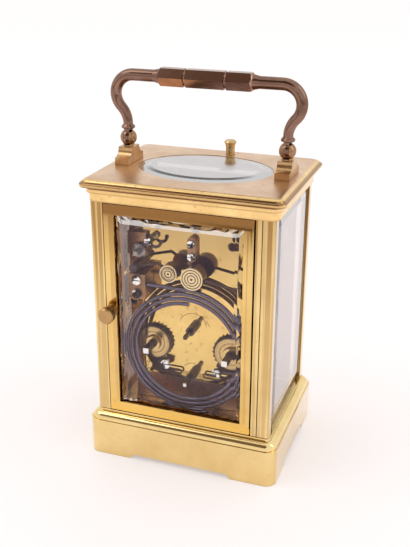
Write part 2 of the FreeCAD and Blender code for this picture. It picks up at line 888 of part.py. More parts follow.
def make_movement_seat():
    reach_x = plate_width / 2 - seat_inset
    front = front_face + seat_inset
    back = back_plate_face - seat_inset
    body = box(-reach_x, reach_x, front, back, plinth_top, plate_base)
    return body.cut(box(-reach_x + seat_wall, reach_x - seat_wall, front + seat_wall, back - seat_wall,
                        plinth_top, plate_base - seat_wall))


def spacer_places():
    top = plate_top - top_spacer_drop
    side = plate_base + side_spacer_rise
    return [(0.0, plate_base + low_spacer_rise), (-side_spacer_x, side), (side_spacer_x, side),
            (-top_spacer_x, top), (top_spacer_x, top)]


def make_spacers():
    return Part.makeCompound([rod_y(x, z, spacer_radius, front_inner, back_inner)
                              for x, z in spacer_places()])


def make_plate(y0, bores):
    plate = box(-plate_width / 2, plate_width / 2, y0, y0 + plate_thickness, plate_base, plate_top)
    for x, z, radius in bores:
        plate = plate.cut(rod_y(x, z, radius + running_gap, y0, y0 + plate_thickness))
    return plate


strike_barrel_at = (barrel_spread, barrel_z)
going_barrel_at = (-barrel_spread, barrel_z)
hands_at = (0.0, hand_z)
great_reach = pitch_size(great_teeth + second_pinion)
second_reach = pitch_size(second_teeth + centre_pinion)
third_reach = pitch_size(centre_teeth + third_pinion)
fly_reach = pitch_size(pin_teeth + fly_pinion)
second_at = meeting_point(going_barrel_at, great_reach, hands_at, second_reach, 1)
pin_wheel_at = (-second_at[0], second_at[1])
train_climb = math.sqrt(1 - train_lean**2)
third_at = (-third_reach * train_lean, hand_z + third_reach * train_climb)
fly_at = (pin_wheel_at[0] + fly_reach * train_lean, pin_wheel_at[1] + fly_reach * train_climb)

second_wheel_y = great_front - 2 * wheel_thickness - train_gap
centre_wheel_y = front_inner + wheel_gap
pin_wheel_y = great_front - wheel_thickness - wheel_gap


def make_barrel(at, phase):
    x, z = at
    drum = rod_y(x, z, barrel_radius, barrel_front, barrel_back)
    wheel = toothed(great_teeth, x, z, phase, great_front, barrel_front)
    bore = rod_y(x, z, winder_radius + running_gap, great_front, barrel_back)
    return joined([drum, wheel]).cut(bore)


def make_arbor(at):
    # Pivots run in both plates.
    return rod_y(at[0], at[1], arbor_radius, front_face, back_plate_face)


def make_second_wheel():
    x, z = second_at
    leaves = toothed(second_pinion, x, z, facing_phase(bearing(going_barrel_at, second_at), second_pinion),
                     second_wheel_y, barrel_front + pinion_margin)
    wheel = toothed(second_teeth, x, z, bearing(second_at, hands_at), second_wheel_y,
                    second_wheel_y + wheel_thickness)
    wheel = crossed(wheel, x, z, pitch_size(second_teeth), wheel_arms, second_wheel_y,
                    second_wheel_y + wheel_thickness)
    return joined([leaves, wheel, make_arbor(second_at)])


def make_centre_wheel():
    x, z = hands_at
    leaves = toothed(centre_pinion, x, z, facing_phase(bearing(second_at, hands_at), centre_pinion),
                     centre_wheel_y, second_wheel_y + wheel_thickness + pinion_margin)
    wheel = toothed(centre_teeth, x, z, bearing(hands_at, third_at), centre_wheel_y,
                    centre_wheel_y + wheel_thickness)
    wheel = crossed(wheel, x, z, pitch_size(centre_teeth), wheel_arms, centre_wheel_y,
                    centre_wheel_y + wheel_thickness)
    return joined([leaves, wheel, make_arbor(hands_at)])


def make_third_wheel():
    x, z = third_at
    leaves = toothed(third_pinion, x, z, facing_phase(bearing(hands_at, third_at), third_pinion),
                     centre_wheel_y, centre_wheel_y + wheel_thickness + pinion_margin)
    disc = rod_y(x, z, contrate_radius, 0, wheel_thickness)
    crown = rod_y(x, z, contrate_radius, wheel_thickness, wheel_thickness + contrate_rim)
    crown = crown.cut(rod_y(x, z, contrate_radius - rim_width / 2, wheel_thickness,
                            wheel_thickness + contrate_rim))
    disc = crossed(disc, x, z, contrate_radius, wheel_arms, 0, wheel_thickness)
    return joined([leaves, disc, crown, make_arbor(third_at)])


def make_pin_wheel():
    x, z = pin_wheel_at
    phase = facing_phase(bearing(strike_barrel_at, pin_wheel_at), second_pinion)
    leaves = toothed(second_pinion, x, z, phase, pin_wheel_y, barrel_front + pinion_margin)
    wheel = toothed(pin_teeth, x, z, bearing(pin_wheel_at, fly_at), pin_wheel_y,
                    pin_wheel_y + wheel_thickness)
    ring = pitch_size(pin_teeth) - rim_width
    pins = []
    for pin in range(lift_pins):
        angle = 2 * math.pi * pin / lift_pins
        pins.append(rod_y(x + ring * math.cos(angle), z + ring * math.sin(angle), lift_pin_radius,
                          pin_wheel_y - lift_pin_length, pin_wheel_y))
    return joined([leaves, wheel, make_arbor(pin_wheel_at)] + pins)


def make_fly():
    x, z = fly_at
    leaves = toothed(fly_pinion, x, z, facing_phase(bearing(pin_wheel_at, fly_at), fly_pinion),
                     pin_wheel_y, pin_wheel_y + wheel_thickness + pinion_margin)
    vane_front = pin_wheel_y + wheel_thickness + 2 * pinion_margin
    vane = box(x - fly_radius, x + fly_radius, vane_front, vane_front + fly_length,
               z - fly_thickness / 2, z + fly_thickness / 2)
    hub = rod_y(x, z, 2 * arbor_radius, vane_front, vane_front + fly_length)
    return joined([leaves, vane, hub, make_arbor(fly_at)])


def square_bar(x, z, side, y0, y1):
    return box(x - side / 2, x + side / 2, y0, y1, z - side / 2, z + side / 2)


def make_winder(at):
    # The winding arbor runs through its barrel and carries the ratchet outside the back plate.
    x, z = at
    tip = back_plate_face + winder_reach
    arbor = rod_y(x, z, winder_radius, front_face, tip - winder_square_length)
    square = square_bar(x, z, winder_square, tip - winder_square_length, tip)
    wheel = ratchet(ratchet_radius, ratchet_teeth, ratchet_depth, x, z, ratchet_y, ratchet_face)
    hub = rod_y(x, z, ratchet_hub_radius, ratchet_face, ratchet_face + ratchet_hub_height)
    return joined([arbor, square, wheel, hub])


def click_place(at):
    inward = -1 if at[0] > 0 else 1
    return at[0] + inward * click_side, at[1] - click_drop, inward


def make_click(at):
    # A lever from its screw to just under the ratchet's lowest teeth.
    x, z, inward = click_place(at)
    top = at[1] - ratchet_radius - click_nose_gap
    nose_x = at[0] - inward
    hub = rod_y(x, z, click_hub_radius, ratchet_y, ratchet_face)
    body = polygon_xz([(x, z + click_width / 3), (x, z - click_width / 2), (nose_x, top - click_width / 2),
                       (nose_x, top)], ratchet_y, ratchet_face)
    bore = rod_y(x, z, arbor_radius + running_gap, ratchet_y, ratchet_face)
    keep_clear = rod_y(at[0], at[1], ratchet_radius + click_nose_gap, ratchet_y, ratchet_face)
    return hub.fuse(body).cut(keep_clear).cut(bore).removeSplitter()


def make_click_screws(places):
    screws = [make_alarm_click_post()]
    for at in places:
        x, z, _ = click_place(at)
        shank = rod_y(x, z, arbor_radius, back_plate_face, ratchet_face + seat_gap)
        screws.append(shank.fuse(slotted_screw(x, z, ratchet_face + seat_gap, click_screw_radius,
                                               click_screw_head)))
    return Part.makeCompound(screws)


def make_click_springs(places):
    # Hairpins, each held at its lower end and pressing up under the click's nose.
    springs = []
    y = (ratchet_y + ratchet_face) / 2
    for at in places:
        x, z, inward = click_place(at)
        low = z - click_spring_drop
        tip = vec(at[0] - inward * click_side / 4, y, low)
        drop = vec(0, 0, -2 * click_spring_bend)
        foot = tip + drop
        turn_high = vec(x + inward * click_side, y, low)
        turn_low = turn_high + drop
        turn_out = turn_high + drop / 2 + vec(inward * click_spring_bend, 0, 0)
        path = Part.Wire([Part.makeLine(foot, turn_low), Part.Arc(turn_low, turn_out, turn_high).toShape(),
                          Part.makeLine(turn_high, tip)])
        section = Part.Wire(Part.Circle(foot, along_x, click_spring_radius).toShape())
        stud = rod_y(foot.x, foot.z, 2 * click_spring_radius, back_plate_face, ratchet_face)
        springs.append(stud.fuse(path.makePipeShell([section], True, True)))
    return Part.makeCompound(springs)


def make_set_arbor():
    tip = back_plate_face + set_reach
    arbor = rod_y(0, set_z, arbor_radius, front_face - wheel_thickness - seat_gap, tip - set_square_length)
    collar = rod_y(0, set_z, set_collar_radius, back_plate_face + seat_gap,
                   back_plate_face + set_collar_length)
    square = square_bar(0, set_z, set_square, tip - set_square_length, tip)
    front = front_face - seat_gap
    wheel = set_wheel(set_z, math.pi / 2, front)
    return joined([arbor, collar, square, wheel])


def set_wheel(z, phase, front):
    # The setting wheel and the hands' pinion are alike and meet half way between their centres.
    size = (hand_z - set_z) / (set_teeth * module)
    wheel = toothed(set_teeth, 0, 0, phase, 0, wheel_thickness)
    stretch = FreeCAD.Matrix()
    stretch.A11 = size
    stretch.A33 = size
    wheel = wheel.transformGeometry(stretch)
    wheel.translate(vec(0, front - wheel_thickness, z))
    return wheel


def hand_outline(length, tail, z, y0, y1):
    points = [(-hand_width / 4, z - tail), (hand_width / 4, z - tail), (hand_width / 2, z),
              (hand_swell, z + length * hand_widest), (0, z + length),
              (-hand_swell, z + length * hand_widest), (-hand_width / 2, z)]
    return polygon_xz(points, y0, y1)


hour_hand_back = dial_front - hand_gap
minute_hand_back = hour_hand_back - hand_thickness - hand_gap
hand_end = minute_hand_back - hand_thickness


def make_minute_hand():
    front = front_face - seat_gap
    wheel = set_wheel(hand_z, facing_phase(math.pi / 2, set_teeth), front)
    pipe = rod_y(0, hand_z, minute_pipe_radius, hand_end, front - wheel_thickness)
    hand = hand_outline(minute_length, minute_length / 5, hand_z, hand_end, minute_hand_back)
    boss = rod_y(0, hand_z, hour_pipe_radius, hand_end, minute_hand_back)
    return joined([wheel, pipe, hand, boss])


def make_hour_hand():
    back = hour_hand_back - hand_thickness
    wheel_back = front_face - wheel_thickness - 2 * hand_gap
    pipe = rod_y(0, hand_z, hour_pipe_radius, back, wheel_back)
    wheel = rod_y(0, hand_z, hour_wheel_radius, wheel_back - wheel_thickness, wheel_back)
    hand = hand_outline(hour_length, hour_length / 5, hand_z, back, hour_hand_back)
    boss = rod_y(0, hand_z, hour_pipe_radius + hand_width / 2, back, hour_hand_back)
    bore = rod_y(0, hand_z, minute_pipe_radius + running_gap, back, wheel_back)
    return joined([pipe, wheel, hand, boss]).cut(bore)


def make_alarm_arbor():
    tip = back_plate_face + alarm_reach
    arbor = rod_y(0, alarm_z, arbor_radius, hour_hand_back - hand_thickness, tip - set_square_length)
    collar = rod_y(0, alarm_z, set_collar_radius, back_plate_face + seat_gap,
                   back_plate_face + set_collar_length)
    square = square_bar(0, alarm_z, set_square, tip - set_square_length, tip)
    hand = hand_outline(alarm_hand_length, alarm_hand_length / 4, alarm_z,
                        hour_hand_back - hand_thickness, hour_hand_back)
    return joined([arbor, collar, square, hand])


def make_dial():
    wide = pillar_in_x - dial_margin
    low = plinth_top + dial_margin
    high = cornice_base - dial_margin
    plate = box(-wide, wide, dial_front, dial_back, low, high)
    plate = plate.cut(rod_y(0, hand_z, hour_pipe_radius + running_gap, dial_front, dial_back))
    plate = plate.cut(rod_y(0, alarm_z, arbor_radius + running_gap, dial_front, dial_back))
    feet = []
    for x in (-dial_foot_x, dial_foot_x):
        for z in (plate_base + top_spacer_drop, plate_top - top_spacer_drop):
            feet.append(rod_y(x, z, dial_foot_radius, dial_back, front_face))
    return joined([plate] + feet)


def make_gong():
    centre = vec(gong_x, gong_y, gong_z)
    edges, points = spiral_edges(centre, along_z, -along_x, gong_radius, gong_pitch, gong_half_turns)
    block_face = vec(gong_block_x, gong_y, gong_top)
    lead = Part.makeLine(block_face, vec(gong_x, gong_y, gong_top))
    end = edges[-1].valueAt(edges[-1].LastParameter)
    tail = Part.makeLine(end, end - along_x * gong_wire)
    return wound_wire([lead] + edges + [tail], points, gong_wire, "gong")


def make_gong_block():
    top = gong_top + gong_block_above
    return box(gong_block_x, gong_block_x + gong_block_width, back_plate_face,
               back_plate_face + gong_block_depth, top - gong_block_height, top)


def make_movement_screws():
    x = gong_block_x + gong_block_width / 2
    middle = gong_top + gong_block_above - gong_block_height / 2
    face = back_plate_face + gong_block_depth
    screws = [slotted_screw(x, middle + side * gong_screw_spread, face, screw_radius, screw_head)
              for side in (-1, 1)]
    top = plate_base + cock_rise + cock_height - cock_screw_inset
    face = back_plate_face + cock_thickness
    screws += [slotted_screw(0, top - drop, face, cock_screw_radius, screw_head)
               for drop in (0, cock_screw_spread)]
    screws += [slotted_screw(x, z, back_plate_face, nut_radius, nut_height) for x, z in spacer_places()[1:]]
    return Part.makeCompound(screws)


def make_hammer_cock():
    low = plate_base + cock_rise
    half = cock_width / 2
    back = back_plate_face + cock_thickness
    body = box(-half, half, back_plate_face, back, low, low + cock_height - half)
    return body.fuse(rod_y(0, low + cock_height - half, half, back_plate_face, back)).removeSplitter()


def strike_head_place():
    lean = gong_x - strike_head_x
    reach = gong_radius + gong_wire / 2
    wire_top = gong_z + math.sqrt(reach**2 - lean**2)
    return vec(strike_head_x, gong_y, wire_top + strike_rest_gap + strike_head_radius)


def alarm_head_place():
    wire_top = gong_top + gong_wire / 2
    return vec(alarm_head_x, gong_y, wire_top + alarm_rest_gap + alarm_head_radius)


def strike_pivot():
    return vec(strike_pivot_x, gong_y, strike_head_place().z - strike_pivot_drop)


def alarm_pivot():
    return vec(alarm_pivot_x, gong_y, alarm_head_place().z + alarm_pivot_above)


def alarm_bend():
    return vec(alarm_bend_x, gong_y, alarm_head_place().z + alarm_bend_above)


def make_hammer(pivot, bends, head, radius):
    # A turned head on a wire arm with a hub that swings on a post.
    half = head_length / 2
    body = rod_y(head.x, head.z, radius, head.y - half, head.y + half)
    for share in head_rings:
        ring = rod_y(head.x, head.z, radius * share + head_groove, head.y + half - head_groove, head.y + half)
        body = body.cut(ring.cut(rod_y(head.x, head.z, radius * share, head.y, head.y + half)))
    dimple_floor = head.y + half - 2 * head_groove
    body = body.cut(rod_y(head.x, head.z, head_dimple, dimple_floor, head.y + half))
    hub = rod_y(pivot.x, pivot.z, hammer_hub_radius, pivot.y - hammer_hub_length / 2,
                pivot.y + hammer_hub_length / 2)
    bore = rod_y(pivot.x, pivot.z, hammer_post_radius + running_gap, pivot.y - hammer_hub_length / 2,
                 pivot.y + hammer_hub_length / 2)
    route = [pivot] + bends + [head]
    arms = [rod_between(a, b, hammer_arm_radius) for a, b in zip(route, route[1:])]
    knees = [Part.makeSphere(hammer_arm_radius, bend) for bend in bends]
    return joined([body, hub] + arms + knees).cut(bore)


def make_hammer_posts():
    posts = []
    for pivot in (strike_pivot(), alarm_pivot()):
        end = pivot.y + hammer_hub_length / 2 + swing_gap
        shaft = rod_y(pivot.x, pivot.z, hammer_post_radius, back_plate_face, end)
        stop = pivot.y - hammer_hub_length / 2 - swing_gap
        sleeve = rod_y(pivot.x, pivot.z, hammer_hub_radius, back_plate_face, stop)
        cap = rod_y(pivot.x, pivot.z, hammer_hub_radius, end, end + hand_thickness)
        posts.append(joined([shaft, sleeve, cap]))
    return Part.makeCompound(posts)


alarm_winder_at = (alarm_winder_x, plate_base + alarm_winder_rise)
bridge_face = back_plate_face + bridge_thickness


def make_alarm_bridge():
    x, z = alarm_winder_at
    low = plate_base + bridge_rise
    body = box(x - bridge_width / 2, plate_width / 2, back_plate_face, bridge_face, low,
               low + bridge_height)
    return body.cut(rod_y(x, z, winder_radius + running_gap, back_plate_face, bridge_face))


def make_alarm_winder():
    x, z = alarm_winder_at
    tip = back_plate_face + alarm_winder_reach
    face = bridge_face + ratchet_lift
    wheel = ratchet(alarm_ratchet_radius, alarm_ratchet_teeth, alarm_ratchet_depth, x, z, face,
                    face + wheel_thickness)
    arbor = rod_y(x, z, winder_radius, back_plate_face + seat_gap, face + wheel_thickness)
    square = square_bar(x, z, alarm_square, face + wheel_thickness, tip)
    return joined([wheel, arbor, square])


def alarm_click_place():
    x, z = alarm_winder_at
    return x - alarm_click_side, z + alarm_click_above


def make_alarm_click():
    # A hub with a short nose at the ratchet and a curled tail the other way.
    x, z = alarm_click_place()
    face = bridge_face + ratchet_lift
    back = face + wheel_thickness
    hub = rod_y(x, z, alarm_click_hub, face, back)
    towards = math.atan2(-alarm_click_above, alarm_click_side)
    reach = math.hypot(alarm_click_side, alarm_click_above)
    nose = box(0, reach, face, back, -alarm_click_hub / 2, alarm_click_hub / 2)
    nose.rotate(vec(0, 0, 0), along_y, -math.degrees(towards))
    nose.translate(vec(x, 0, z))
    nose = nose.cut(rod_y(alarm_winder_at[0], alarm_winder_at[1], alarm_ratchet_radius + click_nose_gap,
                          face, back))
    y = (face + back) / 2
    start = vec(x, y, z)
    low = start - vec(alarm_tail_radius, 0, alarm_tail_radius)
    end = start - along_x * (2 * alarm_tail_radius)
    section = Part.Wire(Part.Circle(start, along_z, alarm_tail_wire).toShape())
    tail = Part.Wire(Part.Arc(start, low, end).toShape()).makePipeShell([section], True, True)
    knob = Part.makeSphere(alarm_tail_knob, end)
    bore = rod_y(x, z, arbor_radius + running_gap, face, back)
    return joined([hub, nose, tail, knob]).cut(bore)


def make_alarm_click_post():
    x, z = alarm_click_place()
    back = bridge_face + ratchet_lift + wheel_thickness
    shank = rod_y(x, z, arbor_radius, back_plate_face, back + seat_gap)
    sleeve = rod_y(x, z, alarm_click_hub, back_plate_face, bridge_face)
    head = slotted_screw(x, z, back + seat_gap, alarm_click_hub, screw_head)
    return joined([shank, sleeve, head])


platform_top = plate_top + platform_thickness
balance_z = platform_top + balance_rise
escape_x = balance_radius + escape_radius + escape_gap


def make_platform():
    half = platform_width / 2
    body = box(-half, half, front_face, back_plate_face, plate_top, platform_top)
    for x, radius in ((0, balance_staff_radius), (-escape_x, balance_staff_radius)):
        body = body.cut(rod_z(x, balance_y, radius + running_gap, plate_top, platform_top))
    return body


def make_balance():
    top = platform_top + cock_plate_rise + cock_plate_thickness
    rim = rod_z(0, balance_y, balance_radius, balance_z, balance_z + balance_thickness)
    rim = rim.cut(rod_z(0, balance_y, balance_radius - balance_rim, balance_z, balance_z + balance_thickness))
    bar = box(-balance_radius + balance_rim / 2, balance_radius - balance_rim / 2,
              balance_y - balance_rim / 2, balance_y + balance_rim / 2, balance_z,
              balance_z + balance_thickness)
    staff = rod_z(0, balance_y, balance_staff_radius, plate_top, top)
    return joined([rim, bar, staff])


def make_balance_cock():
    # An arm over the balance from a foot on the platform.
    base = platform_top + cock_plate_rise
    top = base + cock_plate_thickness
    half = cock_plate_width / 2
    foot_y = balance_y - balance_radius - swing_gap
    arm = box(-half, half, foot_y - cock_plate_width, balance_y, base, top)
    end = rod_z(0, balance_y, half, base, top)
    foot = box(-half, half, foot_y - cock_plate_width, foot_y, platform_top, base)
    bore = rod_z(0, balance_y, balance_staff_radius + running_gap, base, top)
    return joined([arm, end, foot]).cut(bore)


def make_hairspring():
    centre = vec(0, balance_y, balance_z + balance_thickness + hairspring_gap)
    edges, points = spiral_edges(centre, -along_y, along_x, hairspring_radius, hairspring_pitch,
                                 hairspring_half_turns)
    return wound_wire(edges, points, hairspring_wire, "hairspring")


def make_hairspring_stud():
    # A stud hangs from the cock and holds the spring's outer end.
    outer = balance_y - hairspring_radius
    low = balance_z + balance_thickness + hairspring_gap
    return rod_z(0, outer, 2 * hairspring_wire, low + hairspring_wire / 2, platform_top + cock_plate_rise)


def make_escape_wheel():
    points = []
    for tooth in range(escape_teeth):
        lead = 2 * math.pi * tooth / escape_teeth
        back = lead + escape_lead * 2 * math.pi / escape_teeth
        points.append(vec(escape_radius * math.cos(lead), escape_radius * math.sin(lead), 0))
        low = escape_radius - escape_depth
        points.append(vec(low * math.cos(back), low * math.sin(back), 0))
    face = Part.Face(Part.makePolygon(points + points[:1]))
    wheel = face.extrude(vec(0, 0, balance_thickness))
    wheel.translate(vec(-escape_x, balance_y, platform_top + seat_gap))
    arbor = rod_z(-escape_x, balance_y, balance_staff_radius, plate_top - escape_arbor_length,
                  platform_top + balance_rise)
    return wheel.fuse(arbor)


back_bores = [(second_at[0], second_at[1], arbor_radius), (0, hand_z, arbor_radius),
              (third_at[0], third_at[1], arbor_radius), (pin_wheel_at[0], pin_wheel_at[1], arbor_radius),
              (fly_at[0], fly_at[1], arbor_radius), (0, set_z, arbor_radius), (0, alarm_z, arbor_radius),
              (-barrel_spread, barrel_z, winder_radius), (barrel_spread, barrel_z, winder_radius)]
oil_holes = [(oil_hole_x, plate_base + oil_hole_rise, oil_hole_radius),
             (oil_hole_x + oil_hole_radius, plate_base + oil_hole_rise - oil_hole_drop, oil_hole_radius)]
winder_places = [going_barrel_at, strike_barrel_at]

parts = {
    "plinth": make_plinth(),
    "pillar_front_left": make_pillar(1, -1),
    "pillar_front_right": make_pillar(-1, -1),
    "pillar_back_left": make_pillar(1, 1),
    "pillar_back_right": make_pillar(-1, 1),
    "door_post": box(post_outer, post_inner, pillar_in_y, pillar_out_y, plinth_top, cornice_base),
    "cornice": make_cornice(),
    "top_glass": make_top_glass(),
    "side_glass_left": make_side_glass(1),
    "side_glass_right": make_side_glass(-1),
    "front_glass": make_front_glass(),
    "door_frame": make_door_frame(make_door_rebate()),
    "door_glass": make_door_glass(),
    "door_knob": make_door_knob(),
    "handle_block_left": make_handle_block(1),
    "handle_block_right": make_handle_block(-1),
    "handle_pins": Part.makeCompound([handle_pin(1), handle_pin(-1)]),
    "handle_arm_left": make_handle_arm(1),
    "handle_arm_right": make_handle_arm(-1),
    "handle_grip": make_handle_grip(),
    "repeat_button": make_repeat_button(),
    "repeat_lever": make_repeat_lever(),
    "lever_bracket": make_lever_bracket(),
    "movement_seat": make_movement_seat(),
    "back_plate": make_plate(back_inner, back_bores + oil_holes),
    "front_plate": make_plate(front_face, back_bores),
    "plate_spacers": make_spacers(),
    "dial": make_dial(),
    "minute_hand": make_minute_hand(),
    "hour_hand": make_hour_hand(),
    "set_arbor": make_set_arbor(),
    "alarm_arbor": make_alarm_arbor(),
    "going_barrel": make_barrel(going_barrel_at, bearing(going_barrel_at, second_at)),
    "strike_barrel": make_barrel(strike_barrel_at, bearing(strike_barrel_at, pin_wheel_at)),
    "second_wheel": make_second_wheel(),
    "centre_wheel": make_centre_wheel(),
    "third_wheel": make_third_wheel(),
    "pin_wheel": make_pin_wheel(),
    "fly": make_fly(),
    "going_winder": make_winder(going_barrel_at),
    "strike_winder": make_winder(strike_barrel_at),
    "going_click": make_click(going_barrel_at),
    "strike_click": make_click(strike_barrel_at),
    "click_screws": make_click_screws(winder_places),
    "click_springs": make_click_springs(winder_places),
    "alarm_bridge": make_alarm_bridge(),
    "alarm_winder": make_alarm_winder(),
    "alarm_click": make_alarm_click(),
    "gong": make_gong(),
    "gong_block": make_gong_block(),
    "movement_screws": make_movement_screws(),
    "hammer_cock": make_hammer_cock(),
    "hammer_posts": make_hammer_posts(),
    "strike_hammer": make_hammer(strike_pivot(), [], strike_head_place(), strike_head_radius),
    "alarm_hammer": make_hammer(alarm_pivot(), [alarm_bend()], alarm_head_place(), alarm_head_radius),
    "platform": make_platform(),
    "balance": make_balance(),
    "balance_cock": make_balance_cock().fuse(make_hairspring_stud()),
    "hairspring": make_hairspring(),
    "escape_wheel": make_escape_wheel(),
}

os.makedirs("parts", exist_ok=True)
for name, shape in parts.items():
    assert shape.isValid(), name
    shape.translate(vec(0, footprint_shift, 0))
    shape.exportStep("parts/" + name + ".step")
print(len(parts), "nodes")
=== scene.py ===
import bpy
import json
import math
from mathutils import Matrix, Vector

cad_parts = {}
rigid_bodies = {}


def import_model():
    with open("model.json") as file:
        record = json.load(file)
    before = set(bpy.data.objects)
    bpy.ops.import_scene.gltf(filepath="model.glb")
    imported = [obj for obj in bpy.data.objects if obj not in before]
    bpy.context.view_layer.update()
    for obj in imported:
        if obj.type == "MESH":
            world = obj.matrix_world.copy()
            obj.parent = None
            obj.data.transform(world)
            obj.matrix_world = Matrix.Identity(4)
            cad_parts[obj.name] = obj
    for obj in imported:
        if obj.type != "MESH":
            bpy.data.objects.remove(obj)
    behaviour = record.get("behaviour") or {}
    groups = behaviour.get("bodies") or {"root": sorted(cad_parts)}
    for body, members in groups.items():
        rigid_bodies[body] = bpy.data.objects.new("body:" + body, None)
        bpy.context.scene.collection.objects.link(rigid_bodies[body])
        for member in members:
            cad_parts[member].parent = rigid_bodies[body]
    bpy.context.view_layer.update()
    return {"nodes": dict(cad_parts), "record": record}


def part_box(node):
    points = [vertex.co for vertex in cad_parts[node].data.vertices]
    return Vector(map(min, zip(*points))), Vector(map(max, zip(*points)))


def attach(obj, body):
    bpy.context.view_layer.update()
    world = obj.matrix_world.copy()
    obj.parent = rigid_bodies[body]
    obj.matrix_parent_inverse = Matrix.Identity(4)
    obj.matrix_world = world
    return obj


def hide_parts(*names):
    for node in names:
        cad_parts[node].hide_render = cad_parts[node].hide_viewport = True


for leftOver in list(bpy.data.objects):
    bpy.data.objects.remove(leftOver)

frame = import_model()
nodes = frame["nodes"]
scene = bpy.context.scene
scene.view_settings.view_transform = "Standard"
bodyOf = {node: body for body, members in frame["record"]["behaviour"]["bodies"].items() for node in members}
slotOf = {part["node"]: part["material_slot"] for part in frame["record"]["subparts"]}
mm = 0.001
print("clock frame loaded,", len(nodes), "nodes")


def pickOnly(piece):
    if bpy.context.object and bpy.context.object.mode != "OBJECT":
        bpy.ops.object.mode_set(mode="OBJECT")
    bpy.ops.object.select_all(action="DESELECT")
    piece.select_set(True)
    bpy.context.view_layer.objects.active = piece


def applyAll(piece):
    # modifiers first, then the place goes into the mesh
    pickOnly(piece)
    for modifier in list(piece.modifiers):
        bpy.ops.object.modifier_apply(modifier=modifier.name)
    bpy.ops.object.transform_apply(location=True, rotation=True, scale=True)


def paint(piece, material):
    piece.data.materials.clear()
    piece.data.materials.append(material)


def settle(piece, body, material):
    paint(piece, material)
    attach(piece, body)


# shader nodes: a value that is a socket gets linked, any other is set

def addNode(tree, kind, **settings):
    node = tree.nodes.new("ShaderNode" + kind)
    for key, value in settings.items():
        setattr(node, key, value)
    return node


def feed(tree, node, values):
    for label, value in values.items():
        if isinstance(value, bpy.types.NodeSocket):
            tree.links.new(value, node.inputs[label])
        else:
            node.inputs[label].default_value = value


def maths(tree, operation, *values, clamp=False):
    node = addNode(tree, "Math", operation=operation, use_clamp=clamp)
    feed(tree, node, dict(enumerate(values)))
    return node.outputs[0]


def spreadValue(tree, value, low, high, start=0.0, end=1.0, smooth=False):
    # low to high while the value goes from start to end
    spread = addNode(tree, "MapRange", interpolation_type="SMOOTHSTEP" if smooth else "LINEAR")
    feed(tree, spread, {"Value": value, "From Min": start, "From Max": end, "To Min": low, "To Max": high})
    return spread.outputs["Result"]


def shareOver(tree, value, span, smooth=False):
    return spreadValue(tree, value, 0.0, 1.0, *span, smooth=smooth)


def opaque(colour):
    return (*colour, 1.0)


def mixColours(tree, factor, first, second):
    # first and second are colours or sockets
    mix = addNode(tree, "Mix", data_type="RGBA")
    feed(tree, mix, {0: factor, 6: opaque(first) if isinstance(first, tuple) else first,
                     7: opaque(second) if isinstance(second, tuple) else second})
    return mix.outputs[2]


def noiseValue(tree, place, scale, detail, grain=0.5):
    noise = addNode(tree, "TexNoise")
    feed(tree, noise, {"Vector": place, "Scale": scale, "Detail": detail, "Roughness": grain})
    return noise.outputs["Fac"]


def partsOf(tree, label):
    # X, Y and Z of the object coordinates or of the normal
    parts = addNode(tree, "SeparateXYZ")
    feed(tree, parts, {0: addNode(tree, "TexCoord").outputs[label]})
    return parts.outputs


def stretchedPlace(tree, stretch, turn=(0.0, 0.0, 0.0)):
    squeeze = addNode(tree, "Mapping")
    feed(tree, squeeze, {"Vector": addNode(tree, "TexCoord").outputs["Object"], "Rotation": turn, "Scale": stretch})
    return squeeze.outputs[0]


def heightRamp(tree, span, stops):
    # a share that changes with height over the given span
    ramp = addNode(tree, "ValToRGB")
    tones = ramp.color_ramp.elements
    for end, (at, share) in ((tones[0], stops[0]), (tones[1], stops[-1])):
        end.position, end.color = at, (share, share, share, 1.0)
    for at, share in stops[1:-1]:
        tones.new(at).color = (share, share, share, 1.0)
    feed(tree, ramp, {"Fac": shareOver(tree, partsOf(tree, "Object")["Z"], span)})
    return ramp.outputs["Color"]


# shader groups shared by the finishes

def newGroup(name, inputs, outputs):
    group = bpy.data.node_groups.new(name, "ShaderNodeTree")
    for label, value in inputs.items():
        socket = group.interface.new_socket(label, in_out="INPUT", socket_type="NodeSocketFloat")
        socket.default_value = value
    for label in outputs:
        group.interface.new_socket(label, in_out="OUTPUT", socket_type="NodeSocketFloat")
    return group, group.nodes.new("NodeGroupInput").outputs, group.nodes.new("NodeGroupOutput")


def groupNode(tree, group, values):
    node = addNode(tree, "Group", node_tree=group)
    feed(tree, node, values)
    return node.outputs


mottleShape = {"detail": 5.0, "grain": 0.6, "tones": (0.3, 0.7),
               "speckScale": 9.0, "speckDetail": 3.0, "specks": (0.62, 0.74)}


def buildMottle(shape):
    # slow cloudy change of tone with small spots, as on handled and lacquered brass
    group, given, outlet = newGroup("polishMottle", {"Scale": 60.0, "Spots": 0.5}, ["Tone", "Spot"])
    place = addNode(group, "TexCoord").outputs["Object"]
    cloud = noiseValue(group, place, given["Scale"], shape["detail"], shape["grain"])
    speckScale = maths(group, "MULTIPLY", given["Scale"], shape["speckScale"])
    specks = noiseValue(group, place, speckScale, shape["speckDetail"])
    spot = maths(group, "MULTIPLY", shareOver(group, specks, shape["specks"]), given["Spots"])
    feed(group, outlet, {"Tone": shareOver(group, cloud, shape["tones"]), "Spot": spot})
    return group


wipeShape = {"turns": ((0.3, 0.5, 0.2), (-0.6, 0.1, 0.9)), "stretch": (1.0, 1.0, 0.04), "detail": 2.0}


def buildScratches(shape):
    # two crossing sets of hair lines left by wiping
    group, given, outlet = newGroup("wipeLines", {"Scale": 300.0}, ["Height"])
    heights = [noiseValue(group, stretchedPlace(group, shape["stretch"], turn), given["Scale"], shape["detail"])
               for turn in shape["turns"]]
    feed(group, outlet, {"Height": maths(group, "ADD", *heights)})
    return group


shadeAndGrimeShape = {"samples": 8, "hollow": (0.75, 0.25)}


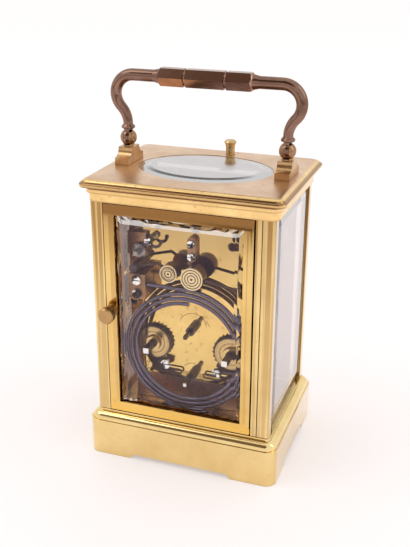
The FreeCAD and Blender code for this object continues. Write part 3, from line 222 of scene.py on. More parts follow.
def buildGrime(shape):
    # old polish and dust that stay in corners, and painted shade: ambient occlusion darkens corners, creases and the
    # gaps between parts
    group, given, outlet = newGroup("cornerShadeAndGrime", {"Reach": 0.002, "Amount": 0.7}, ["Mask"])
    corner = addNode(group, "AmbientOcclusion", samples=shape["samples"])
    feed(group, corner, {"Distance": given["Reach"]})
    hollow = shareOver(group, corner.outputs["AO"], shape["hollow"])
    feed(group, outlet, {"Mask": maths(group, "MULTIPLY", hollow, given["Amount"])})
    return group


reflectionStreakShape = {"stretch": (1.0, 1.0, 0.012), "detail": 2.0, "edge": (0.45, 0.55)}


def buildStreaks(shape):
    # painted reflection: long upright darker streaks, as a polished bar shows its surroundings
    group, given, outlet = newGroup("paintedReflectionStreaks", {"Scale": 420.0}, ["Mask"])
    bars = noiseValue(group, stretchedPlace(group, shape["stretch"]), given["Scale"], shape["detail"])
    feed(group, outlet, {"Mask": shareOver(group, bars, shape["edge"])})
    return group


def axisPlace(group, centreX, centreZ):
    # offsets and distance from an axis along Y
    parts = partsOf(group, "Object")
    offsetX = maths(group, "SUBTRACT", parts["X"], centreX)
    offsetZ = maths(group, "SUBTRACT", parts["Z"], centreZ)
    both = addNode(group, "CombineXYZ")
    feed(group, both, {0: offsetX, 1: offsetZ})
    radius = addNode(group, "VectorMath", operation="LENGTH")
    feed(group, radius, {0: both.outputs[0]})
    return offsetX, offsetZ, radius.outputs["Value"]


def buildRings():
    # share of a given reach from an axis along Y, for turned faces
    group, given, outlet = newGroup("turnedRings", {"Centre X": 0.0, "Centre Z": 0.0, "Reach": 0.01}, ["Share"])
    radius = axisPlace(group, given["Centre X"], given["Centre Z"])[2]
    feed(group, outlet, {"Share": maths(group, "DIVIDE", radius, given["Reach"])})
    return group


def buildArc():
    # an engraved arc about an axis along Y, on the middle line of the case
    group, given, outlet = newGroup("engravedArc", {"Centre Z": 0.0, "Radius": 0.006, "Half Width": 0.00012,
                                                    "Start": 0.3, "End": 2.8}, ["Mask"])
    offsetX, offsetZ, radius = axisPlace(group, 0.0, given["Centre Z"])
    away = maths(group, "ABSOLUTE", maths(group, "SUBTRACT", radius, given["Radius"]))
    thin = maths(group, "LESS_THAN", away, given["Half Width"])
    turn = maths(group, "ARCTAN2", offsetZ, offsetX)
    after = maths(group, "GREATER_THAN", turn, given["Start"])
    before = maths(group, "LESS_THAN", turn, given["End"])
    span = maths(group, "MULTIPLY", after, before)
    feed(group, outlet, {"Mask": maths(group, "MULTIPLY", span, thin)})
    return group


leanShape = {"square": (0.996, 0.986), "upper": (0.04, 0.12)}


def buildBevel(shape):
    # Flat on faces square to the axes, Upper on bevels that look up, Other on the other bevels
    group, given, outlet = newGroup("leaningFaces", {"Flat": 0.0, "Upper": 1.0, "Other": 1.0}, ["Weight"])
    parts = partsOf(group, "Normal")
    sizes = [maths(group, "ABSOLUTE", parts[axis]) for axis in "XYZ"]
    most = maths(group, "MAXIMUM", maths(group, "MAXIMUM", sizes[0], sizes[1]), sizes[2])
    bevel = spreadValue(group, parts["Z"], given["Other"], given["Upper"], *shape["upper"])
    feed(group, outlet, {"Weight": spreadValue(group, most, given["Flat"], bevel, *shape["square"])})
    return group


mottleGroup = buildMottle(mottleShape)
ringGroup = buildRings()
arcGroup = buildArc()
bevelGroup = buildBevel(leanShape)
reflectionStreakGroup = buildStreaks(reflectionStreakShape)
scratchGroup = buildScratches(wipeShape)
shadeAndGrimeGroup = buildGrime(shadeAndGrimeShape)


def newFinish(name):
    material = bpy.data.materials.new(name)
    material.use_nodes = True
    return material, material.node_tree, material.node_tree.nodes["Principled BSDF"]


def centred(centre, reach):
    return {"Centre X": centre[0], "Centre Z": centre[1], "Reach": reach}


# ringReach in mm, lineDepth in metres
metalShape = {"oilIor": 1.8, "oilRough": 0.08, "lacquerRough": 0.1, "flatFrom": (0.93, 0.99),
              "ringReach": 10, "pitEdge": (1.0, 0.9), "lineDepth": 0.00002}


def metalFinish(name, look):
    material, tree, shader = newFinish(name)
    feed(tree, shader, {"Metallic": 1.0})
    if "oil" in look:
        feed(tree, shader, {"Coat Weight": look["oil"], "Coat IOR": metalShape["oilIor"],
                            "Coat Roughness": metalShape["oilRough"]})
    if "lacquer" in look:
        # old lacquer shines at a glancing view
        facing = addNode(tree, "LayerWeight").outputs["Facing"]
        feed(tree, shader, {"Coat Weight": spreadValue(tree, facing, *look["lacquer"]["glancing"]),
                            "Coat IOR": look["lacquer"]["ior"], "Coat Roughness": metalShape["lacquerRough"]})
    mottle = groupNode(tree, mottleGroup, {"Scale": look["cloud"], "Spots": look["spots"]})
    lines = groupNode(tree, scratchGroup, {"Scale": look["lines"]})
    shadeAndGrime = groupNode(tree, shadeAndGrimeGroup, {"Reach": look["shadeAndGrimeReach"], "Amount": look["shadeAndGrime"]})
    tone = mottle["Tone"]
    if "sharp" in look:
        # painted highlight and shade: a hard change from dark to bright across each small polished head
        tone = shareOver(tree, tone, look["sharp"])
    colour = mixColours(tree, tone, look["light"], look["deep"])
    rough = spreadValue(tree, mottle["Tone"], *look["rough"])
    if "flatTop" in look:
        # the flat upper side is satin, the mouldings are polished
        upward = shareOver(tree, partsOf(tree, "Normal")["Z"], metalShape["flatFrom"])
        satin = mixColours(tree, mottle["Tone"], look["flatTop"]["light"], look["flatTop"]["deep"])
        colour = mixColours(tree, upward, colour, satin)
        rough = spreadValue(tree, upward, rough, spreadValue(tree, mottle["Tone"], *look["flatTop"]["rough"]))
    if "rings" in look:
        turned = groupNode(tree, ringGroup, centred(look["rings"]["centre"], metalShape["ringReach"] * mm))
        ramp = addNode(tree, "ValToRGB")
        for at, ringTone in look["rings"]["stops"]:
            ramp.color_ramp.elements.new(at).color = opaque(ringTone)
        feed(tree, ramp, {"Fac": turned["Share"]})
        colour = ramp.outputs["Color"]
    if "depth" in look:
        # another tone on one side of the given place along Y: a painted highlight on the bright tips of the winders
        # and arbors, and painted shade on the hammers towards the plate
        near = shareOver(tree, partsOf(tree, "Object")["Y"], look["depth"]["from"])
        colour = mixColours(tree, near, colour, look["depth"]["colour"])
    for arc in look.get("arcs", []):
        line = groupNode(tree, arcGroup, {"Centre Z": arc["z"], "Radius": arc["radius"],
                                          "Start": arc["span"][0], "End": arc["span"][1]})
        colour = mixColours(tree, line["Mask"], colour, look["arcTone"])
    # painted reflection: upright darker streaks, their share set by height
    if "reflectionStreaks" in look:
        reflectionStreaks = groupNode(tree, reflectionStreakGroup, {"Scale": look["reflectionStreaks"]["scale"]})
        share = heightRamp(tree, look["reflectionStreaks"]["from"], look["reflectionStreaks"]["stops"])
        colour = mixColours(tree, maths(tree, "MULTIPLY", reflectionStreaks["Mask"], share), colour, look["reflectionStreaks"]["colour"])
    for band in look.get("bands", []):
        # tones that change with height: tarnish on the back plate where polish never reaches, painted shade with
        # patina under the cornice, and painted shade between the cornice mouldings
        colour = mixColours(tree, heightRamp(tree, band["from"], band["stops"]), colour, band["colour"])
    for pit in look.get("pits", []):
        hollow = groupNode(tree, ringGroup, centred(pit["centre"], pit["radius"]))
        colour = mixColours(tree, shareOver(tree, hollow["Share"], metalShape["pitEdge"]), colour, look["pitTone"])
    colour = mixColours(tree, mottle["Spot"], colour, look["spot"])
    # painted shade with old polish and dust, darker in corners and gaps
    colour = mixColours(tree, shadeAndGrime["Mask"], colour, look["shadeAndGrimeTone"])
    bump = addNode(tree, "Bump")
    feed(tree, bump, {"Strength": look["bump"], "Distance": metalShape["lineDepth"], "Height": lines["Height"]})
    feed(tree, shader, {"Base Color": colour, "Roughness": rough, "Normal": bump.outputs["Normal"]})
    return material


def mixShaders(tree, factor, first, second):
    mix = addNode(tree, "MixShader")
    feed(tree, mix, {0: factor, 1: first.outputs[0], 2: second.outputs[0]})
    feed(tree, tree.nodes["Material Output"], {"Surface": mix.outputs[0]})


def glassFinish(name, look):
    material, tree, shader = newFinish(name)
    tint = opaque(look["tint"])
    bevel = groupNode(tree, bevelGroup, {"Flat": look["coat"], "Upper": look["bevelCoat"],
                                         "Other": look["otherBevels"]})
    weight = bevel["Weight"]
    if "rearShadeTint" in look:
        # painted shade: beside the rear pillar the pane is tinted a darker green and mirrors nothing, standing in for
        # a bevel that shows dark things there
        rear = shareOver(tree, partsOf(tree, "Object")["Y"], look["rearFrom"])
        tint = mixColours(tree, rear, look["tint"], look["rearShadeTint"])
        weight = maths(tree, "MULTIPLY", weight, spreadValue(tree, rear, 1.0, 0.0))
    if "innerLine" in look:
        # on the door side the inner part of the bevel shows the dark case below it
        line = look["innerLine"]
        doorSide = shareOver(tree, partsOf(tree, "Normal")["Y"], line["leaning"])
        dark = maths(tree, "MULTIPLY", doorSide, heightRamp(tree, line["from"], line["stops"]))
        weight = maths(tree, "MULTIPLY", weight, spreadValue(tree, dark, 1.0, line["left"]))
    if "glancing" in look:
        # old plate glass turns to a mirror at a glancing view
        facing = addNode(tree, "LayerWeight").outputs["Facing"]
        weight = maths(tree, "MULTIPLY", weight, spreadValue(tree, facing, *look["glancing"]))
    if "innerGlancing" in look:
        # the face towards the movement mirrors it more strongly
        side = maths(tree, "MULTIPLY", partsOf(tree, "Object")["X"], partsOf(tree, "Normal")["X"])
        inward = spreadValue(tree, side, 1.0, 0.0, *look["inwardEdge"])
        behind = addNode(tree, "NewGeometry").outputs["Backfacing"]
        inward = maths(tree, "SUBTRACT", inward, behind, clamp=True)
        mirror = maths(tree, "MULTIPLY", inward, spreadValue(tree, facing, *look["innerGlancing"]))
        weight = maths(tree, "MAXIMUM", weight, mirror)
    smear = groupNode(tree, mottleGroup, {"Scale": look["cloud"], "Spots": 0.0})
    feed(tree, shader, {"Base Color": tint, "Transmission Weight": 1.0, "IOR": look["ior"],
                        "Specular Tint": opaque(look["gloss"]), "Coat Weight": weight, "Coat IOR": look["coatIor"],
                        "Coat Tint": opaque(look["coatTint"]), "Coat Roughness": look["coatRough"],
                        "Roughness": spreadValue(tree, smear["Tone"], 0.0, look["smear"])})
    # light passes to the movement without a dark pane shadow
    path = addNode(tree, "LightPath").outputs
    passing = maths(tree, "MAXIMUM", path["Is Shadow Ray"], path["Is Diffuse Ray"])
    mixShaders(tree, passing, shader, addNode(tree, "BsdfTransparent"))
    return material


def enamelFinish(name, look):
    material, tree, shader = newFinish(name)
    mottle = groupNode(tree, mottleGroup, {"Scale": look["cloud"], "Spots": look["spots"]})
    colour = mixColours(tree, mottle["Tone"], look["light"], look["deep"])
    colour = mixColours(tree, mottle["Spot"], colour, look["spot"])
    # the back of the dial is bare copper
    behind = shareOver(tree, partsOf(tree, "Object")["Y"], look["copperFrom"])
    feed(tree, shader, {"Base Color": mixColours(tree, behind, colour, look["copper"]), "Coat Weight": look["coat"],
                        "Roughness": spreadValue(tree, mottle["Tone"], *look["rough"])})
    return material


# finishes of the record's slots
metalLooks = {
    "case_brass": {"light": (0.90, 0.70, 0.34), "deep": (0.79, 0.58, 0.25), "spot": (0.45, 0.27, 0.09),
                   "shadeAndGrimeTone": (0.42, 0.24, 0.08), "rough": (0.06, 0.14), "cloud": 70.0, "spots": 0.22,
                   "lines": 420.0, "bump": 0.25, "shadeAndGrime": 0.75, "shadeAndGrimeReach": 0.0015,
                   "lacquer": {"ior": 2.6, "glancing": (0.0, 1.0, 0.5, 0.75)}},
    "top_brass": {"light": (0.94, 0.67, 0.30), "deep": (0.78, 0.51, 0.20), "spot": (0.32, 0.18, 0.08),
                  "shadeAndGrimeTone": (0.40, 0.22, 0.09), "rough": (0.10, 0.18), "cloud": 80.0, "spots": 0.6,
                  "lines": 420.0, "bump": 0.3, "shadeAndGrime": 0.8, "shadeAndGrimeReach": 0.0015,
                  # painted shade: brown bands along the fascia and under the beads, standing in for the shade of the
                  # mouldings
                  "bands": [{"from": (0.1092, 0.118), "colour": (0.29, 0.145, 0.065),
                             "stops": [(0.01, 0.5), (0.05, 0.2), (0.09, 0.0), (0.32, 0.0), (0.37, 0.55), (0.40, 0.55),
                                       (0.43, 0.1), (0.52, 0.1), (0.55, 0.9), (0.68, 0.85), (0.72, 0.3), (0.76, 0.2),
                                       (0.79, 0.9), (0.89, 0.75), (0.93, 0.0), (0.99, 0.0)]}],
                  "flatTop": {"light": (0.76, 0.53, 0.35), "deep": (0.62, 0.41, 0.25), "rough": (0.26, 0.36)}},
    # tarnished brown, darkened further as painted shade for the dark ceiling it mirrors
    "handle_brass": {"light": (0.29, 0.17, 0.125), "deep": (0.17, 0.095, 0.068), "spot": (0.12, 0.06, 0.04),
                     "shadeAndGrimeTone": (0.06, 0.03, 0.02), "rough": (0.12, 0.20), "cloud": 120.0, "spots": 0.5,
                     "lines": 500.0, "bump": 0.3, "shadeAndGrime": 0.8, "shadeAndGrimeReach": 0.001},
    "fitting_brass": {"light": (0.66, 0.42, 0.21), "deep": (0.50, 0.29, 0.13), "spot": (0.25, 0.14, 0.07),
                      "shadeAndGrimeTone": (0.12, 0.06, 0.03), "rough": (0.16, 0.28), "cloud": 110.0, "spots": 0.6,
                      "lines": 450.0, "bump": 0.3, "shadeAndGrime": 0.85, "shadeAndGrimeReach": 0.0012},
    "gilt_plate": {"light": (0.88, 0.64, 0.24), "deep": (0.74, 0.49, 0.16), "spot": (0.42, 0.25, 0.10),
                   "shadeAndGrimeTone": (0.20, 0.11, 0.05), "rough": (0.02, 0.06), "cloud": 55.0, "spots": 0.7,
                   "lines": 380.0, "bump": 0.25, "shadeAndGrime": 0.5, "shadeAndGrimeReach": 0.001},
    # painted shade: brass darkened to brown for movement fittings that sit in shade and mirror dark things
    "old_brass": {"light": (0.36, 0.21, 0.11), "deep": (0.22, 0.12, 0.065), "spot": (0.15, 0.09, 0.05),
                  "shadeAndGrimeTone": (0.07, 0.04, 0.03), "rough": (0.22, 0.36), "cloud": 120.0, "spots": 0.7,
                  "lines": 400.0, "bump": 0.35, "shadeAndGrime": 0.7, "shadeAndGrimeReach": 0.001},
    "wheel_brass": {"light": (0.84, 0.66, 0.36), "deep": (0.66, 0.48, 0.22), "spot": (0.34, 0.22, 0.10),
                    "shadeAndGrimeTone": (0.12, 0.07, 0.03), "rough": (0.12, 0.24), "cloud": 150.0, "spots": 0.5,
                    "lines": 600.0, "bump": 0.3, "shadeAndGrime": 0.8, "shadeAndGrimeReach": 0.0008},
    "polished_steel": {"light": (0.46, 0.43, 0.42), "deep": (0.20, 0.17, 0.165), "spot": (0.12, 0.09, 0.07),
                       "shadeAndGrimeTone": (0.05, 0.04, 0.03), "rough": (0.14, 0.28), "cloud": 160.0, "spots": 0.6,
                       "lines": 600.0, "bump": 0.3, "shadeAndGrime": 0.8, "shadeAndGrimeReach": 0.0008},
    "blued_steel": {"light": (0.094, 0.06, 0.122), "deep": (0.044, 0.028, 0.062), "spot": (0.12, 0.08, 0.08),
                    "shadeAndGrimeTone": (0.02, 0.015, 0.02), "rough": (0.10, 0.20), "cloud": 140.0, "spots": 0.4, "oil": 0.8,
                    "lines": 600.0, "bump": 0.3, "shadeAndGrime": 0.6, "shadeAndGrimeReach": 0.0008},
}
glassLook = {"tint": (0.985, 0.99, 0.985), "ior": 1.48, "gloss": (0.52, 0.41, 0.49), "coat": 0.0, "bevelCoat": 1.0,
             "otherBevels": 0.0, "coatIor": 6.0, "coatTint": (0.98, 0.93, 0.82), "coatRough": 0.02,
             "cloud": 90.0, "smear": 0.02}
enamelLook = {"light": (0.90, 0.89, 0.86), "deep": (0.84, 0.825, 0.785), "spot": (0.70, 0.66, 0.60), "coat": 0.6,
              "rough": (0.18, 0.28), "cloud": 60.0, "spots": 0.3, "copper": (0.42, 0.24, 0.12),
              "copperFrom": (-0.0218, -0.0216)}

finishes = {slot: metalFinish(slot + "_finish", look) for slot, look in metalLooks.items()}
finishes["clear_glass"] = glassFinish("clear_glass_finish", glassLook)
finishes["white_enamel"] = enamelFinish("white_enamel_finish", enamelLook)
for nodeName, node in nodes.items():
    paint(node, finishes[slotOf[nodeName]])


# nodes that differ from the rest of their slot
nodeFinish = {}


def dressNodes(finish, *nodeNames):
    for nodeName in nodeNames:
        nodeFinish[nodeName] = finish
        paint(nodes[nodeName], finish)


ovalGlassLook = {"tint": (0.61, 0.545, 0.555), "ior": 1.5, "gloss": (1.0, 1.0, 1.0), "coat": 0.95, "bevelCoat": 1.0,
                 "otherBevels": 1.0, "coatIor": 8.0, "coatTint": (0.97, 0.94, 0.96), "coatRough": 0.14,
                 "cloud": 90.0, "smear": 0.03, "glancing": (0.04, 1.0, 0.2, 0.5),
                 "innerLine": {"from": (0.1179, 0.1187), "leaning": (0.08, 0.15), "left": 0.05,
                               "stops": [(0.0, 0.0), (0.5, 0.0), (0.6, 1.0), (0.9, 1.0), (0.99, 0.0)]}}
dressNodes(glassFinish("oval_glass_finish", ovalGlassLook), "top_glass")

sideGlassLook = {**glassLook, "tint": (0.82, 0.74, 0.69), "gloss": (0.35, 0.35, 0.36), "coat": 1.0, "bevelCoat": 1.0,
                 "otherBevels": 1.0, "coatIor": 16.0, "coatTint": (0.96, 0.93, 0.95),
                 # painted shade: a darker green strip along the rear edge
                 "rearShadeTint": (0.55, 0.58, 0.57), "rearFrom": (0.0158, 0.0166),
                 "glancing": (0.024, 0.68, 0.36, 0.64), "innerGlancing": (0.024, 1.0, 0.40, 0.62),
                 "inwardEdge": (-0.01, 0.01)}
dressNodes(glassFinish("side_glass_finish", sideGlassLook),
           *[nodeName for nodeName in nodes if nodeName.startswith("side_glass")])

pillarLook = {**metalLooks["case_brass"], "shadeAndGrime": 0.4,
              # painted shade with patina: the pillars darken towards the cornice
              "bands": [{"from": (0.070, 0.1092), "colour": (0.34, 0.18, 0.06),
                         "stops": [(0.01, 0.0), (0.5, 0.15), (0.99, 0.45)]}],
              # painted reflection: upright darker streaks on the pillars, denser towards the top
              "reflectionStreaks": {"scale": 640.0, "colour": (0.38, 0.21, 0.07), "from": (0.0195, 0.1092),
                          "stops": [(0.01, 0.35), (0.5, 0.5), (0.8, 0.8), (0.99, 0.95)]}}
dressNodes(metalFinish("pillar_finish", pillarLook),
           *[nodeName for nodeName in nodes if nodeName.startswith("pillar")], "door_post")

doorLook = {**metalLooks["case_brass"], "light": (0.82, 0.58, 0.23), "deep": (0.71, 0.47, 0.16),
            # painted reflection: upright darker streaks on the door stiles
            "reflectionStreaks": {"scale": 560.0, "colour": (0.48, 0.29, 0.10), "from": (0.0195, 0.1092),
                        "stops": [(0.05, 0.0), (0.06, 0.35), (0.5, 0.4), (0.8, 0.7), (0.94, 0.9), (0.95, 0.0),
                                  (0.99, 0.0)]},
            # painted shade with patina: the head rail under the cornice turns brown; the lower rail turns a warmer
            # orange
            "bands": [{"from": (0.0195, 0.109), "colour": (0.23, 0.10, 0.03),
                       "stops": [(0.01, 0.0), (0.74, 0.0), (0.86, 0.25), (0.94, 0.6), (0.955, 0.92), (0.99, 0.92)]},
                      {"from": (0.018, 0.034), "colour": (0.96, 0.58, 0.10),
                       "stops": [(0.01, 0.75), (0.2, 0.6), (0.45, 0.25), (0.99, 0.0)]}]}
dressNodes(metalFinish("door_finish", doorLook), "door_frame")

knobLook = {**metalLooks["case_brass"], "light": (0.56, 0.36, 0.16), "deep": (0.44, 0.27, 0.11),
            "rough": (0.24, 0.34)}
dressNodes(metalFinish("knob_finish", knobLook), "door_knob")

blockLook = {**metalLooks["fitting_brass"],
             "bands": [{"from": (0.118, 0.135), "colour": (0.25, 0.135, 0.075),
                        "stops": [(0.0, 0.0), (0.40, 0.0), (0.44, 0.75), (0.99, 0.75)]}]}
dressNodes(metalFinish("block_finish", blockLook), "handle_block_left", "handle_block_right")

gripLook = {**metalLooks["handle_brass"], "light": (0.42, 0.255, 0.185), "deep": (0.27, 0.155, 0.11)}
dressNodes(metalFinish("grip_finish", gripLook), "handle_grip")

buttonLook = {**metalLooks["fitting_brass"], "light": (0.60, 0.42, 0.20), "deep": (0.46, 0.30, 0.13),
              "rough": (0.24, 0.34)}
dressNodes(metalFinish("button_finish", buttonLook), "repeat_button")

# painted shade: the seat is brass darkened to brown, a little lighter than the other shaded fittings
seatLook = {**metalLooks["old_brass"], "light": (0.68, 0.44, 0.37), "deep": (0.45, 0.28, 0.235)}
dressNodes(metalFinish("seat_finish", seatLook), "movement_seat")

backPlateLook = {**metalLooks["gilt_plate"], "arcTone": (0.20, 0.12, 0.05),
                 "arcs": [{"z": 0.0555, "radius": 0.0062, "span": (0.35, 2.75)},
                          {"z": 0.0555, "radius": 0.0068, "span": (2.5, 2.95)},
                          {"z": 0.0555, "radius": 0.0056, "span": (2.5, 2.95)},
                          {"z": 0.0347, "radius": 0.0047, "span": (0.6, 2.6)}],
                 "pitTone": (0.07, 0.045, 0.03),
                 "pits": [{"centre": (-0.0170, 0.0952), "radius": 0.0015},
                          {"centre": (-0.0157, 0.0920), "radius": 0.0019}],
                 "bands": [{"from": (0.032, 0.101), "colour": (0.46, 0.30, 0.12),
                            "stops": [(0.05, 0.15), (0.3, 0.0), (0.6, 0.2), (0.85, 0.7), (0.98, 0.85)]}]}
dressNodes(metalFinish("back_plate_finish", backPlateLook), "back_plate")

# ring stops are shares of ringReach
# painted highlight on the winding square's tip, painted shade on the rest of the square
winderLook = {**metalLooks["polished_steel"], "depth": {"from": (0.0217, 0.0219), "colour": (0.86, 0.85, 0.85)},
              "rings": {"centre": (-0.0165, 0.0473),
                        "stops": [(0.02, (0.05, 0.035, 0.035)), (0.175, (0.06, 0.045, 0.045)),
                                  (0.185, (0.62, 0.43, 0.17)), (0.29, (0.70, 0.50, 0.22)), (0.31, (0.14, 0.09, 0.05)),
                                  (0.34, (0.66, 0.47, 0.20)), (0.45, (0.55, 0.37, 0.15)), (0.47, (0.20, 0.13, 0.07)),
                                  (0.50, (0.60, 0.42, 0.18)), (0.66, (0.52, 0.36, 0.16)), (0.68, (0.10, 0.07, 0.06)),
                                  (0.80, (0.07, 0.05, 0.05))]}}
strikeWinderLook = {**winderLook, "rings": {**winderLook["rings"], "centre": (0.0165, 0.0473)}}
dressNodes(metalFinish("going_winder_finish", winderLook), "going_winder")
dressNodes(metalFinish("strike_winder_finish", strikeWinderLook), "strike_winder")

# painted shade and painted highlight: the arbors are steel darkened nearly black, with a painted bright tip
arborShadeAndGlintLook = {**metalLooks["polished_steel"], "light": (0.10, 0.075, 0.07), "deep": (0.05, 0.035, 0.035),
             "depth": {"from": (0.0216, 0.0218), "colour": (0.75, 0.73, 0.72)}}
dressNodes(metalFinish("arbor_shade_and_glint_finish", arborShadeAndGlintLook), "set_arbor", "alarm_arbor")

# painted shade: polished steel darkened for the clicks, springs and hammer posts, standing in for the dark they
# mirror in the case
shadedSteelLook = {**metalLooks["polished_steel"], "light": (0.13, 0.10, 0.095), "deep": (0.06, 0.045, 0.045)}
dressNodes(metalFinish("shaded_steel_finish", shadedSteelLook),
           "going_click", "strike_click", "click_springs", "alarm_click", "hammer_posts")

# painted highlight and shade: each screw head is half bright, half dark
screwGlintLook = {**metalLooks["polished_steel"], "light": (0.84, 0.82, 0.81), "deep": (0.03, 0.025, 0.025),
             "cloud": 300.0, "rough": (0.08, 0.16), "sharp": (0.42, 0.56)}
dressNodes(metalFinish("screw_glint_finish", screwGlintLook), "movement_screws", "click_screws")

# painted shade: the hammers darken towards the plate
hammerLook = {**metalLooks["wheel_brass"], "rough": (0.16, 0.26),
              "depth": {"from": (0.0206, 0.0200), "colour": (0.09, 0.05, 0.035)}}
grooveLook = {"face": (0.76, 0.60, 0.35), "groove": (0.25, 0.155, 0.08), "middle": (0.005, 0.04, 0.05),
              "edge": 0.008, "width": 0.030}


def headRings(centre, grooves):
    # turned grooves on a hammer head, radii in mm
    face, groove = grooveLook["face"], grooveLook["groove"]
    stops = list(zip(grooveLook["middle"], (groove, groove, face)))
    for radius in grooves:
        start = radius / metalShape["ringReach"]
        stops += [(start - grooveLook["edge"], face), (start, groove), (start + grooveLook["width"], groove),
                  (start + grooveLook["width"] + grooveLook["edge"], face)]
    return {"centre": centre, "stops": stops}


strikeHammerLook = {**hammerLook, "rings": headRings((-0.0026, 0.0805), (1.44, 2.52, 3.6))}
alarmHammerLook = {**hammerLook, "rings": headRings((0.0069, 0.0814), (1.3, 2.5))}
dressNodes(metalFinish("strike_hammer_finish", strikeHammerLook), "strike_hammer")
dressNodes(metalFinish("alarm_hammer_finish", alarmHammerLook), "alarm_hammer")
print("finishes on", len(finishes), "slots")


# machined pieces get the small rounded edges that catch the light, widths in mm
softEdges = {"plinth": 0.35, "pillar_front_left": 0.3, "pillar_front_right": 0.3, "pillar_back_left": 0.3,
             "pillar_back_right": 0.3, "door_post": 0.25, "door_frame": 0.25, "cornice": 0.2,
             "handle_block_left": 0.25, "handle_block_right": 0.25, "handle_grip": 0.2, "gong_block": 0.25,
             "hammer_cock": 0.2, "movement_seat": 0.3, "alarm_bridge": 0.2, "platform": 0.2}
edgeLook = {"merge": 0.000002, "flatAngle": math.radians(0.6), "sharpAngle": math.radians(32.0), "segments": 2}


def copyNode(nodeName, name):
    # a copy with its loose triangles merged, left in edit mode with all selected
    piece = bpy.data.objects.new(name, nodes[nodeName].data.copy())
    scene.collection.objects.link(piece)
    pickOnly(piece)
    bpy.ops.mesh.customdata_custom_splitnormals_clear()
    bpy.ops.object.mode_set(mode="EDIT")
    bpy.ops.mesh.select_all(action="SELECT")
    bpy.ops.mesh.remove_doubles(threshold=edgeLook["merge"])
    return piece


def softenNode(nodeName, width):
    piece = copyNode(nodeName, nodeName + "_soft")
    bpy.ops.mesh.dissolve_limited(angle_limit=edgeLook["flatAngle"])
    bpy.ops.object.mode_set(mode="OBJECT")
    rounding = piece.modifiers.new("rounding", "BEVEL")
    rounding.width = width * mm
    rounding.segments = edgeLook["segments"]
    rounding.limit_method = "ANGLE"
    rounding.angle_limit = edgeLook["sharpAngle"]
    rounding.use_clamp_overlap = True
    applyAll(piece)
    bpy.ops.object.shade_smooth_by_angle(angle=edgeLook["sharpAngle"])
    piece.modifiers.new("flat_faces", "WEIGHTED_NORMAL").keep_sharp = True
    applyAll(piece)
    settle(piece, bodyOf[nodeName], nodeFinish.get(nodeName, finishes[slotOf[nodeName]]))
    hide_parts(nodeName)


for nodeName, width in softEdges.items():
    softenNode(nodeName, width)
print("edges rounded on", len(softEdges), "pieces")


# the door pane's bevel is ground deep, so its strips catch the light, sizes in mm
paneLook = {"edgeDrop": 0.8, "faceFrom": 0.4}


def buildDoorPane(look):
    low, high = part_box("door_glass")
    piece = copyNode("door_glass", "door_pane")
    bpy.ops.mesh.select_all(action="DESELECT")
    bpy.ops.object.mode_set(mode="OBJECT")
    for corner in piece.data.vertices:
        corner.select = low[1] + look["faceFrom"] * mm < corner.co.y < high[1] - look["faceFrom"] * mm
    bpy.ops.object.mode_set(mode="EDIT")
    bpy.ops.transform.translate(value=(0, -look["edgeDrop"] * mm, 0))
    bpy.ops.object.mode_set(mode="OBJECT")
    bpy.ops.object.shade_flat()
    settle(piece, bodyOf["door_glass"], finishes["clear_glass"])
    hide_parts("door_glass")


buildDoorPane(paneLook)
print("door pane bevelled")


# printed hours, minute track and small alarm dial on the enamel, sizes in mm
dialLook = {"front": -22.45, "ink": 0.02, "textSteps": 4, "ringSides": 128,
            "centre": 67.8, "hourRadius": 15.4, "hourSize": 5.2, "track": (18.6, 20.2),
            "hours": ("XII", "I", "II", "III", "IIII", "V", "VI", "VII", "VIII", "IX", "X", "XI"),
            "minutes": 60, "minuteWidth": 0.18, "hourWidth": 0.5, "hourPast": 0.5, "ringWidth": 0.14,
            "alarmCentre": 34.7, "alarmRadius": 6.6, "alarmSize": 2.3, "alarmTrack": (8.0, 8.6),
            "alarmHours": range(1, 13), "alarmWidth": 0.16, "alarmRing": 0.1}
inkLook = {"light": (0.022, 0.02, 0.022), "deep": (0.045, 0.04, 0.04), "spot": (0.12, 0.11, 0.10), "coat": 0.6,
           "rough": (0.3, 0.45), "cloud": 200.0, "spots": 0.3, "copper": (0.03, 0.03, 0.03), "copperFrom": (0.5, 0.6)}


def joinPieces(pieces, name):
    pickOnly(pieces[0])
    for piece in pieces:
        piece.select_set(True)
    bpy.ops.object.join()
    joined = bpy.context.object
    joined.name = name
    return joined


def dialPlace(piece, radius, turn, centre):
    piece.rotation_euler = (math.radians(90.0), turn, 0.0)
    piece.location = (radius * math.sin(turn) * mm, (dialLook["front"] - dialLook["ink"] / 2) * mm,
                      (centre + radius * math.cos(turn)) * mm)
    applyAll(piece)
    return piece


def dialWords(words, size, radius, turn, centre):
    bpy.ops.object.text_add(location=(0, 0, 0))
    piece = bpy.context.object
    piece.data.body = words
    piece.data.size = size * mm
    piece.data.align_x = "CENTER"
    piece.data.align_y = "CENTER"
    piece.data.extrude = dialLook["ink"] / 2 * mm
    piece.data.resolution_u = dialLook["textSteps"]
    bpy.ops.object.convert(target="MESH")
    return dialPlace(bpy.context.object, radius, turn, centre)


def dialTicks(track, count, width, centre):
    # one bar is modelled and copied round the track
    low, high = track
    bpy.ops.mesh.primitive_cube_add(size=1.0)
    bar = bpy.context.object
    bar.scale = (width * mm, (high - low) * mm, dialLook["ink"] * mm)
    applyAll(bar)
    ticks = [bar]
    while len(ticks) < count:
        tick = bpy.data.objects.new("tick", bar.data.copy())
        scene.collection.objects.link(tick)
        ticks.append(tick)
    for step, tick in enumerate(ticks):
        dialPlace(tick, (low + high) / 2, 2 * math.pi * step / count, centre)
    return ticks


